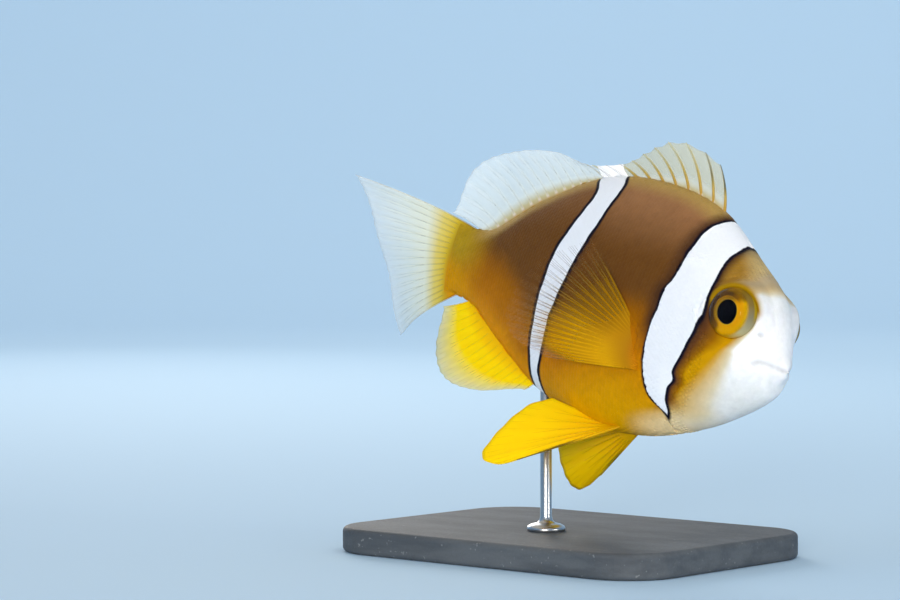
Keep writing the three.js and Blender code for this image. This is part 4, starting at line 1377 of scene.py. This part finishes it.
def ray_material(looks):
    """Horny rays with faint joints across them; on some fins the foremost ones are dark."""
    material, nodes = new_material(looks["name"] + " rays")
    out = nodes.read("out")
    ray = nodes.read("ray")
    joints = nodes.math("SINE", out * 160.0)
    shade = nodes.blend(nodes.rise(joints, 0.3, 1.0) * 0.08, nodes.ramp(out, looks["rays"]), (90, 60, 20))
    opacity = nodes.ramp(out, looks["ray_opacity"])
    if "dark_front" in looks:
        front = nodes.rise(ray, 1.5, 0.8) * nodes.rise(out, 0.30, 0.60)
        shade = nodes.blend(front * 0.85, shade, (62, 60, 20))
    if "body_reach" in looks:
        body_colour, taken = on_body(nodes, out, looks, 0.0)
        shade = nodes.blend(taken, shade, body_colour)
    if "bars" in looks:
        # The soft rays of the dorsal fin are whiter and clearer than its spines.
        soft = nodes.rise(ray, 9.0, 10.5)
        shade = nodes.blend(soft * nodes.rise(out, 0.06, 0.24) * 0.95, shade, (236, 242, 240))
        opacity = opacity * nodes.between(soft, 1.0, 0.22)
    if "low_rays" in looks:
        shade = on_lower_rays(nodes, ray, out, shade, looks["low_rays"])
    finish_fin_material(nodes, shade, opacity, joints, looks.get("ray_glow", 0.0))
    return material


def build_fin(context, name, place, looks, *nodes_replaced):
    """Makes a fin's skin and its rays. A fin of both sides has its materials made once."""
    fins = context.scene.clownfish_fins
    film = bpy.data.materials.get(looks["name"] + " film") or film_material(looks)
    rays = bpy.data.materials.get(looks["name"] + " rays") or ray_material(looks)
    shape = FinShape(place, looks)
    finish_piece(fin_film(shape, name + "_film", fins.film), film, looks["slot"], *nodes_replaced)
    tree = bpy.data.node_groups.get("Clownfish rays") or rays_tree()
    values = {"Sides": fins.ray_sides, "Material": rays}
    lines = ray_lines(shape, name, fins.spine_radius, fins.ray_radius)
    finish_piece(built_by_nodes(name + "_rays", lines, tree, values), None, looks["slot"])


class CLOWNFISH_OT_median_fins(bpy.types.Operator):
    """Builds the dorsal, anal and tail fins"""

    bl_idname = "clownfish.median_fins"
    bl_label = "Median fins"

    def execute(self, context):
        for name, place, fin, looks, *replaced in (
            ("dorsal_fin", median_place, DORSAL, DORSAL_LOOKS, "dorsal_fin_spiny", "dorsal_fin_soft"),
            ("anal_fin", median_place, ANAL, ANAL_LOOKS, "anal_fin"),
            ("tail_fin", tail_place, TAIL, TAIL_LOOKS, "tail_fin"),
        ):
            build_fin(context, name, partial(place, fin), looks, *replaced)
        return {"FINISHED"}


class CLOWNFISH_OT_paired_fins(bpy.types.Operator):
    """Builds the pectoral and pelvic fins of both sides"""

    bl_idname = "clownfish.paired_fins"
    bl_label = "Paired fins"

    def execute(self, context):
        for side_name, side, pelvic in (("right", -1, PELVIC_RIGHT), ("left", 1, PELVIC_LEFT)):
            for kind, fin, looks in (
                ("pectoral_fin_", PECTORAL, PECTORAL_LOOKS), ("pelvic_fin_", pelvic, PELVIC_LOOKS),
            ):
                node = kind + side_name
                build_fin(context, node + "_looks", partial(paired_place, fin, side), looks, node)
        return {"FINISHED"}


# ---------------------------------------------------------------- eyes

def ball_curve(inset, degrees):
    """Places (radius, height) on the ball's rounded profile, at angles from its axis, in millimetres."""
    a = np.radians(degrees)
    power = 2 / EYE_SQUARENESS
    radii = (EYE_RADIUS - inset) * np.sin(a) ** power
    heights = (EYE_DEPTH_RADIUS - inset) * np.cos(a) ** power
    return list(zip(radii.tolist(), heights.tolist()))


def eye_profile():
    """From the pupil's middle, over the iris and round the ball to its back, in millimetres."""
    pupil = [(r, 2.50 - 0.05 * r * r) for r in (0.0, 0.5, 1.0, 1.4, 1.70)]
    lip = [(1.76, 2.34), (1.82, 2.48), (1.92, 2.54), (2.04, 2.52)]
    iris = [(2.35, 2.50), (2.65, 2.47), (2.95, 2.41), (3.2, 2.31), (3.4, 2.18)]
    wall = ball_curve(1.15 * CORNEA_THICKNESS, [56, 60, 64, 68, 72, 76, 80, 84, 87])
    hidden = [(3.86, -0.3), (3.75, -0.9), (3.4, -1.5), (2.4, -1.9), (1.2, -2.1), (0.0, -2.2)]
    return pupil + lip + iris + wall + hidden


def cornea_profile():
    """A thin clear dome over the iris, with its rim let into the ball."""
    degrees = [0, 5, 10, 16, 22, 28, 34, 40, 46, 51, 55]
    rim = ball_curve(0.6 * CORNEA_THICKNESS, [58]) + ball_curve(1.6 * CORNEA_THICKNESS, [61])
    return ball_curve(0.0, degrees) + rim + ball_curve(CORNEA_THICKNESS, degrees[::-1])


def eye_matrix(side):
    """Turns a shape whose axis is +Z, with +X towards the snout and +Y up, into place on the head."""
    out = Vector((math.sin(EYE_FORWARD), side * math.cos(EYE_FORWARD), -math.sin(EYE_DOWN))).normalized()
    ahead = Vector((1, 0, 0))
    ahead = (ahead - out * ahead.dot(out)).normalized()
    above = ahead.cross(out) * side
    columns = Matrix((ahead, above, out)).transposed()
    centre = to_world([EYE_CENTRE[0], side * EYE_CENTRE[1], EYE_CENTRE[2]])
    return Matrix.Translation(Vector(centre)) @ (TURN.to_matrix() @ columns).to_4x4()


def eye_material():
    """The iris with its gold ring and dark upper arc, round a black pupil."""
    material, nodes = new_material("Eye")
    rise, blend = nodes.rise, nodes.blend
    gaze = nodes.read("gaze", "Vector")
    ahead, above, height = nodes.split(gaze)
    radius = nodes.distance(ahead, above)
    direction = nodes.math("ARCTAN2", above, ahead)
    around = nodes.join(nodes.math("COSINE", direction), nodes.math("SINE", direction))
    streaks = nodes.noise(around, 9.0, 4.0, 0.7)
    cloud = nodes.noise(gaze, 0.9, 2.0)
    iris = nodes.ramp(radius * (1 / EYE_RADIUS), [
        (0.42, (255, 206, 40)), (0.50, (244, 172, 4)), (0.60, (246, 168, 0)),
        (0.74, (246, 174, 0)), (0.82, (232, 174, 0)), (0.90, (206, 156, 8)),
    ])
    # The rear and upper part of the iris is dark.
    toward = nodes.math("COSINE", direction - DARK_ARC_AT)
    dark = blend(rise(cloud, 0.4, 0.6), (46, 28, 20), (72, 50, 28))
    dark = blend(rise(toward, 0.50, 0.0), dark, (128, 80, 10))
    band = rise(radius - 0.25 + cloud * 0.5, 2.15, 2.45)
    iris = blend(band * rise(toward, -0.50, 0.0) * 0.97, iris, dark)
    iris = blend(rise(toward, -0.40, 0.40) * rise(radius, 2.6, 2.1) * 0.80, iris, (94, 68, 22))
    browner = rise(radius, 2.75, 3.20) * rise(toward, 0.90, 0.50) * rise(above, 1.7, 2.7)
    iris = blend(browner, iris, (146, 104, 8))
    iris = blend(rise(above, -1.2, -2.8) * rise(toward, 0.0, -0.45), iris, (248, 178, 0))
    iris = blend(rise(streaks, 0.45, 0.75) * 0.18, iris, (150, 80, 4))
    # The wall of the ball outside the iris: gold below, pale grey in front, olive above, dark behind.
    wall = nodes.ramp(direction * (0.5 / math.pi) + 0.5, [
        (0.00, (70, 48, 32)), (0.11, (66, 46, 28)), (0.19, (186, 130, 6)), (0.29, (196, 152, 24)),
        (0.38, (182, 172, 130)), (0.50, (130, 122, 94)), (0.58, (124, 104, 54)), (0.68, (122, 98, 26)),
        (0.75, (150, 110, 8)), (0.86, (104, 74, 34)), (1.00, (70, 48, 32)),
    ])
    iris = blend(rise(height, 2.28, 1.75), iris, wall)
    rim = rise(height, 1.05, 0.70) * rise(ahead, 0.0, 2.0) * rise(above, -1.0, 0.8)
    iris = blend(rim, iris, (164, 138, 24))
    # The pupil is drawn out a little down and forwards, in a thin gold ring.
    drawn = nodes.math("MAXIMUM", nodes.math("COSINE", direction - PUPIL_POINT_AT), 0.0)
    past = radius - (drawn**4.0 * 0.22 + 1.78)
    gold_ring = blend(rise(toward, -0.3, 0.5), (246, 184, 30), (166, 126, 30))
    iris = blend(rise(past, 0.30, 0.14) * 0.80, iris, gold_ring)
    nodes.feed(nodes.shader, {
        "Base Color": blend(rise(past, -0.05, 0.06), (6, 6, 14), iris),
        "Roughness": 0.40,
        "Specular IOR Level": 0.05,
        "Normal": nodes.bump(streaks, 0.00003),
    })
    return material


def cornea_material():
    """Clear and smooth, and bent so little that the iris stays where it is."""
    material, nodes = new_material("Cornea")
    haze = nodes.rise(nodes.noise(nodes.read("gaze", "Vector"), 1.3, 2.0), 0.3, 0.8)
    nodes.feed(nodes.shader, {
        "Roughness": nodes.between(haze, 0.02, 0.06),
        "Base Color": srgb(250, 252, 255),
        "Transmission Weight": 1.0,
        "IOR": 1.08,
    })
    return material


class CLOWNFISH_OT_eyes(bpy.types.Operator):
    """Builds both eyes, each a ball with an iris under a clear cornea"""

    bl_idname = "clownfish.eyes"
    bl_label = "Eyes"

    def execute(self, context):
        ball = eye_material()
        clear = cornea_material()
        for side_name, side in (("right", -1), ("left", 1)):
            node = "eye_" + side_name
            turn = np.array(eye_matrix(side))
            for part_name, profile, material, *replaced in (
                ("_ball", eye_profile(), ball, node),
                ("_cornea", cornea_profile(), clear),
            ):
                local, faces = turned_profile(profile, EYE_SIDES)
                points = (local * MM) @ turn[:3, :3].T + turn[:3, 3]
                mesh = mesh_from(node + part_name, points, faces)
                store(mesh, gaze=local)
                finish_piece(add_object(node + part_name, mesh), material, "eye", *replaced)
        return {"FINISHED"}


# ---------------------------------------------------------------- stand

def slate_material():
    """Honed grey slate with faint clouds, fine grain and a few pale flecks."""
    material, nodes = new_material("Slate")
    seen = nodes.object_place()
    clouds = nodes.noise(nodes.object_place((60.0, 150.0, 300.0)), 1.0, 4.0, 0.6)
    grain = nodes.noise(seen, 2600.0, 3.0, 0.7)
    flecks = nodes.rise(nodes.noise(seen, 1500.0, 1.0), 0.70, 0.76)
    shade = nodes.blend(nodes.rise(clouds, 0.3, 0.7), (74, 80, 87), (96, 102, 108))
    shade = nodes.blend(grain * 0.35, shade, (58, 62, 68))
    nodes.feed(nodes.shader, {
        "Base Color": nodes.blend(flecks * 0.5, shade, (140, 146, 150)),
        "Roughness": nodes.between(grain, 0.56, 0.74),
        "Specular IOR Level": 0.25,
        "Normal": nodes.bump(grain + clouds, 0.00005),
    })
    return material


def steel_material():
    """Steel brushed round the rod."""
    material, nodes = new_material("Brushed steel")
    brushed = nodes.noise(nodes.object_place((300.0, 300.0, 9000.0)), 1.0, 3.0, 0.6)
    nodes.feed(nodes.shader, {
        "Base Color": nodes.blend(brushed, (176, 180, 184), (206, 209, 212)),
        "Roughness": nodes.between(brushed, 0.22, 0.38),
        "Metallic": 1.0,
        "Normal": nodes.bump(brushed, 0.00001),
    })
    return material


def rounded_outline(half_x, half_y, corner):
    """A rectangle with round corners, as points round it."""
    points = []
    for quarter, (ahead, left) in enumerate(((1, 1), (-1, 1), (-1, -1), (1, -1))):
        for a in np.linspace(quarter, quarter + 1, CORNER_STEPS + 1) * math.pi / 2:
            points.append((
                ahead * (half_x - corner) + corner * math.cos(a),
                left * (half_y - corner) + corner * math.sin(a),
            ))
    return np.array(points)


def slab(low, high, corner, edge):
    """A slab with round corners and eased edges between two corners of its box."""
    half = (high - low) / 2
    turns = np.linspace(0, math.pi / 2, EDGE_STEPS + 1)
    rings = []
    for side, turn in [(-1, turn) for turn in turns] + [(1, turn) for turn in turns[::-1]]:
        inset = edge * (1 - math.sin(turn))
        outline = rounded_outline(half.x - inset, half.y - inset, corner - inset)
        level = half.z - edge * (1 - math.cos(turn))
        rings.append(np.column_stack([outline, np.full(len(outline), side * level)]))
    walls, numbers = ring_walls(len(rings), len(outline))
    faces = walls + [numbers[0].tolist(), numbers[-1, ::-1].tolist()]
    return np.concatenate(rings) + np.array((low + high) / 2), faces


class CLOWNFISH_OT_stand(bpy.types.Operator):
    """Builds the slate base and the steel rod"""

    bl_idname = "clownfish.stand"
    bl_label = "Stand"

    def execute(self, context):
        base_low, base_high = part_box("stand_base")
        base = mesh_from("stand_slate", *slab(base_low, base_high, BASE_CORNER, BASE_EDGE))
        base.shade_flat()
        finish_piece(add_object("stand_slate", base), slate_material(), "stand_slate", "stand_base")

        # The rod's foot rests on the base, across the packed frame's small gap.
        low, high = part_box("stand_rod")
        bottom = min(low.z, base_high.z)
        foot = (high.x - low.x) / 2
        top = high.z - bottom + ROD_INTO_BELLY
        profile = [
            (0.0, 0.0), (foot - 0.1 * MM, 0.0), (foot, 0.1 * MM), (foot, 0.5 * MM),
            (foot - 0.12 * MM, 0.75 * MM), (0.8 * foot, 1.05 * MM), (0.62 * foot, 1.2 * MM),
            (0.46 * foot, 1.32 * MM), (0.36 * foot, 1.7 * MM), (ROD_RADIUS, 2.3 * MM),
            (ROD_RADIUS, top - 0.1 * MM), (ROD_RADIUS - 0.1 * MM, top), (0.0, top),
        ]
        local, faces = turned_profile(profile, ROD_SIDES)
        middle = (low + high) / 2
        rod = mesh_from("stand_steel", local + [middle.x, middle.y, bottom], faces)
        finish_piece(add_object("stand_steel", rod), steel_material(), "stand_steel", "stand_rod")
        return {"FINISHED"}


# ---------------------------------------------------------------- stage

def camera_axes():
    """To the right, up and towards the camera, as it looks along its azimuth and elevation."""
    a, e = CAMERA_AZIMUTH, CAMERA_ELEVATION
    right = Vector((math.cos(a), math.sin(a), 0))
    above = Vector((-math.sin(a) * math.sin(e), math.cos(a) * math.sin(e), math.cos(e)))
    return right, above, right.cross(above)


def add_camera(aim):
    """The camera, turned so that the aim lies a little to the right of the picture's middle and below it."""
    right, above, near = camera_axes()
    data = bpy.data.cameras.new("camera")
    data.sensor_width = SENSOR_WIDTH
    data.lens = FOCAL_PIXELS / PICTURE_WIDTH * SENSOR_WIDTH
    data.clip_start = CLIP_START
    camera = add_object("camera", data)
    camera.location = aim + CAMERA_DISTANCE * near
    forward = (-FOCAL_PIXELS * near - AIM_RIGHT_PIXELS * right + AIM_BELOW_PIXELS * above).normalized()
    across = forward.cross(above).normalized()
    rows = Matrix((across, across.cross(forward), -forward))
    camera.rotation_euler = rows.transposed().to_euler()
    bpy.context.scene.camera = camera


def add_light(name, power, location, aim, size, spread):
    data = bpy.data.lights.new(name, "AREA")
    data.shape = "DISK"
    data.size = size
    data.spread = math.radians(spread)
    data.energy = power
    data.color = srgb(*LIGHT_COLOUR)[:3]
    light = add_object(name, data)
    light.visible_camera = False
    light.location = location
    light.rotation_euler = (location - aim).to_track_quat("Z", "Y").to_euler()


def surround_material(shade):
    material, nodes = new_material("Surround")
    paper = nodes.noise(nodes.object_place(), 900.0, 2.0)
    nodes.feed(nodes.shader, {
        "Base Color": nodes.blend(paper * 0.04, shade, (225, 232, 238)),
        "Roughness": 0.9,
    })
    return material


class CLOWNFISH_OT_stage(bpy.types.Operator):
    """Sets the pale floor that curves up all round, the soft lights and the camera"""

    bl_idname = "clownfish.stage"
    bl_label = "Stage"

    def execute(self, context):
        stage = context.scene.clownfish_stage
        profile = [(0.0, 0.0), (0.3, 0.0), (0.6, 0.0)]
        for a in np.linspace(0, math.pi / 2, 13):
            profile.append((FLOOR_RADIUS + FLOOR_BEND * math.sin(a), FLOOR_BEND * (1 - math.cos(a))))
        profile.append((FLOOR_RADIUS + FLOOR_BEND, WALL_HEIGHT))
        points, faces = turned_profile(profile, FLOOR_SIDES)
        floor = add_object("stage_floor", mesh_from("stage_floor", points, faces, closed=False))
        floor.data.materials.append(surround_material(stage.surround))

        world = bpy.data.worlds.new("soft_sky")
        world.use_nodes = True
        background = world.node_tree.nodes["Background"]
        background.inputs["Color"].default_value = srgb(*SKY_COLOUR)
        background.inputs["Strength"].default_value = stage.world_strength
        context.scene.world = world

        right, above, near = camera_axes()
        aim = Vector(to_world(AIM_PLACE))
        for name, place, towards, size, spread in LIGHTS:
            location, target = (aim + n * near + r * right + a * above for n, r, a in (place, towards))
            add_light(name, getattr(stage, name + "_power"), location, target, size, spread)
        add_camera(aim)
        context.scene.view_settings.view_transform = "Standard"
        return {"FINISHED"}


# ---------------------------------------------------------------- panel and running

SETTINGS = {
    "clownfish_skin": ClownfishSkinSettings,
    "clownfish_scales": ClownfishScaleSettings,
    "clownfish_fins": ClownfishFinSettings,
    "clownfish_colours": ClownfishColourSettings,
    "clownfish_stage": ClownfishStageSettings,
}
OPERATORS = (
    CLOWNFISH_OT_skin,
    CLOWNFISH_OT_scales,
    CLOWNFISH_OT_median_fins,
    CLOWNFISH_OT_paired_fins,
    CLOWNFISH_OT_eyes,
    CLOWNFISH_OT_stand,
    CLOWNFISH_OT_stage,
)


class CLOWNFISH_PT_panel(bpy.types.Panel):
    """Lists the pieces to build and their settings"""

    bl_idname = "CLOWNFISH_PT_panel"
    bl_label = "Clownfish"
    bl_space_type = "VIEW_3D"
    bl_region_type = "UI"
    bl_category = "Clownfish"

    def draw(self, context):
        for operator in OPERATORS:
            self.layout.operator(operator.bl_idname)
        for name, group in SETTINGS.items():
            box = self.layout.box()
            box.label(text=group.__doc__)
            for setting in group.__annotations__:
                box.prop(getattr(context.scene, name), setting)


CLASSES = (*SETTINGS.values(), *OPERATORS, CLOWNFISH_PT_panel)


def register():
    for item in CLASSES:
        bpy.utils.register_class(item)
    for name, group in SETTINGS.items():
        setattr(bpy.types.Scene, name, PointerProperty(type=group))


def unregister():
    for name in SETTINGS:
        delattr(bpy.types.Scene, name)
    for item in reversed(CLASSES):
        bpy.utils.unregister_class(item)


def main():
    register()
    bpy.ops.clownfish.skin()
    bpy.ops.clownfish.scales()
    bpy.ops.clownfish.median_fins()
    bpy.ops.clownfish.paired_fins()
    bpy.ops.clownfish.eyes()
    bpy.ops.clownfish.stand()
    bpy.ops.clownfish.stage()


if __name__ == "__main__":
    main()
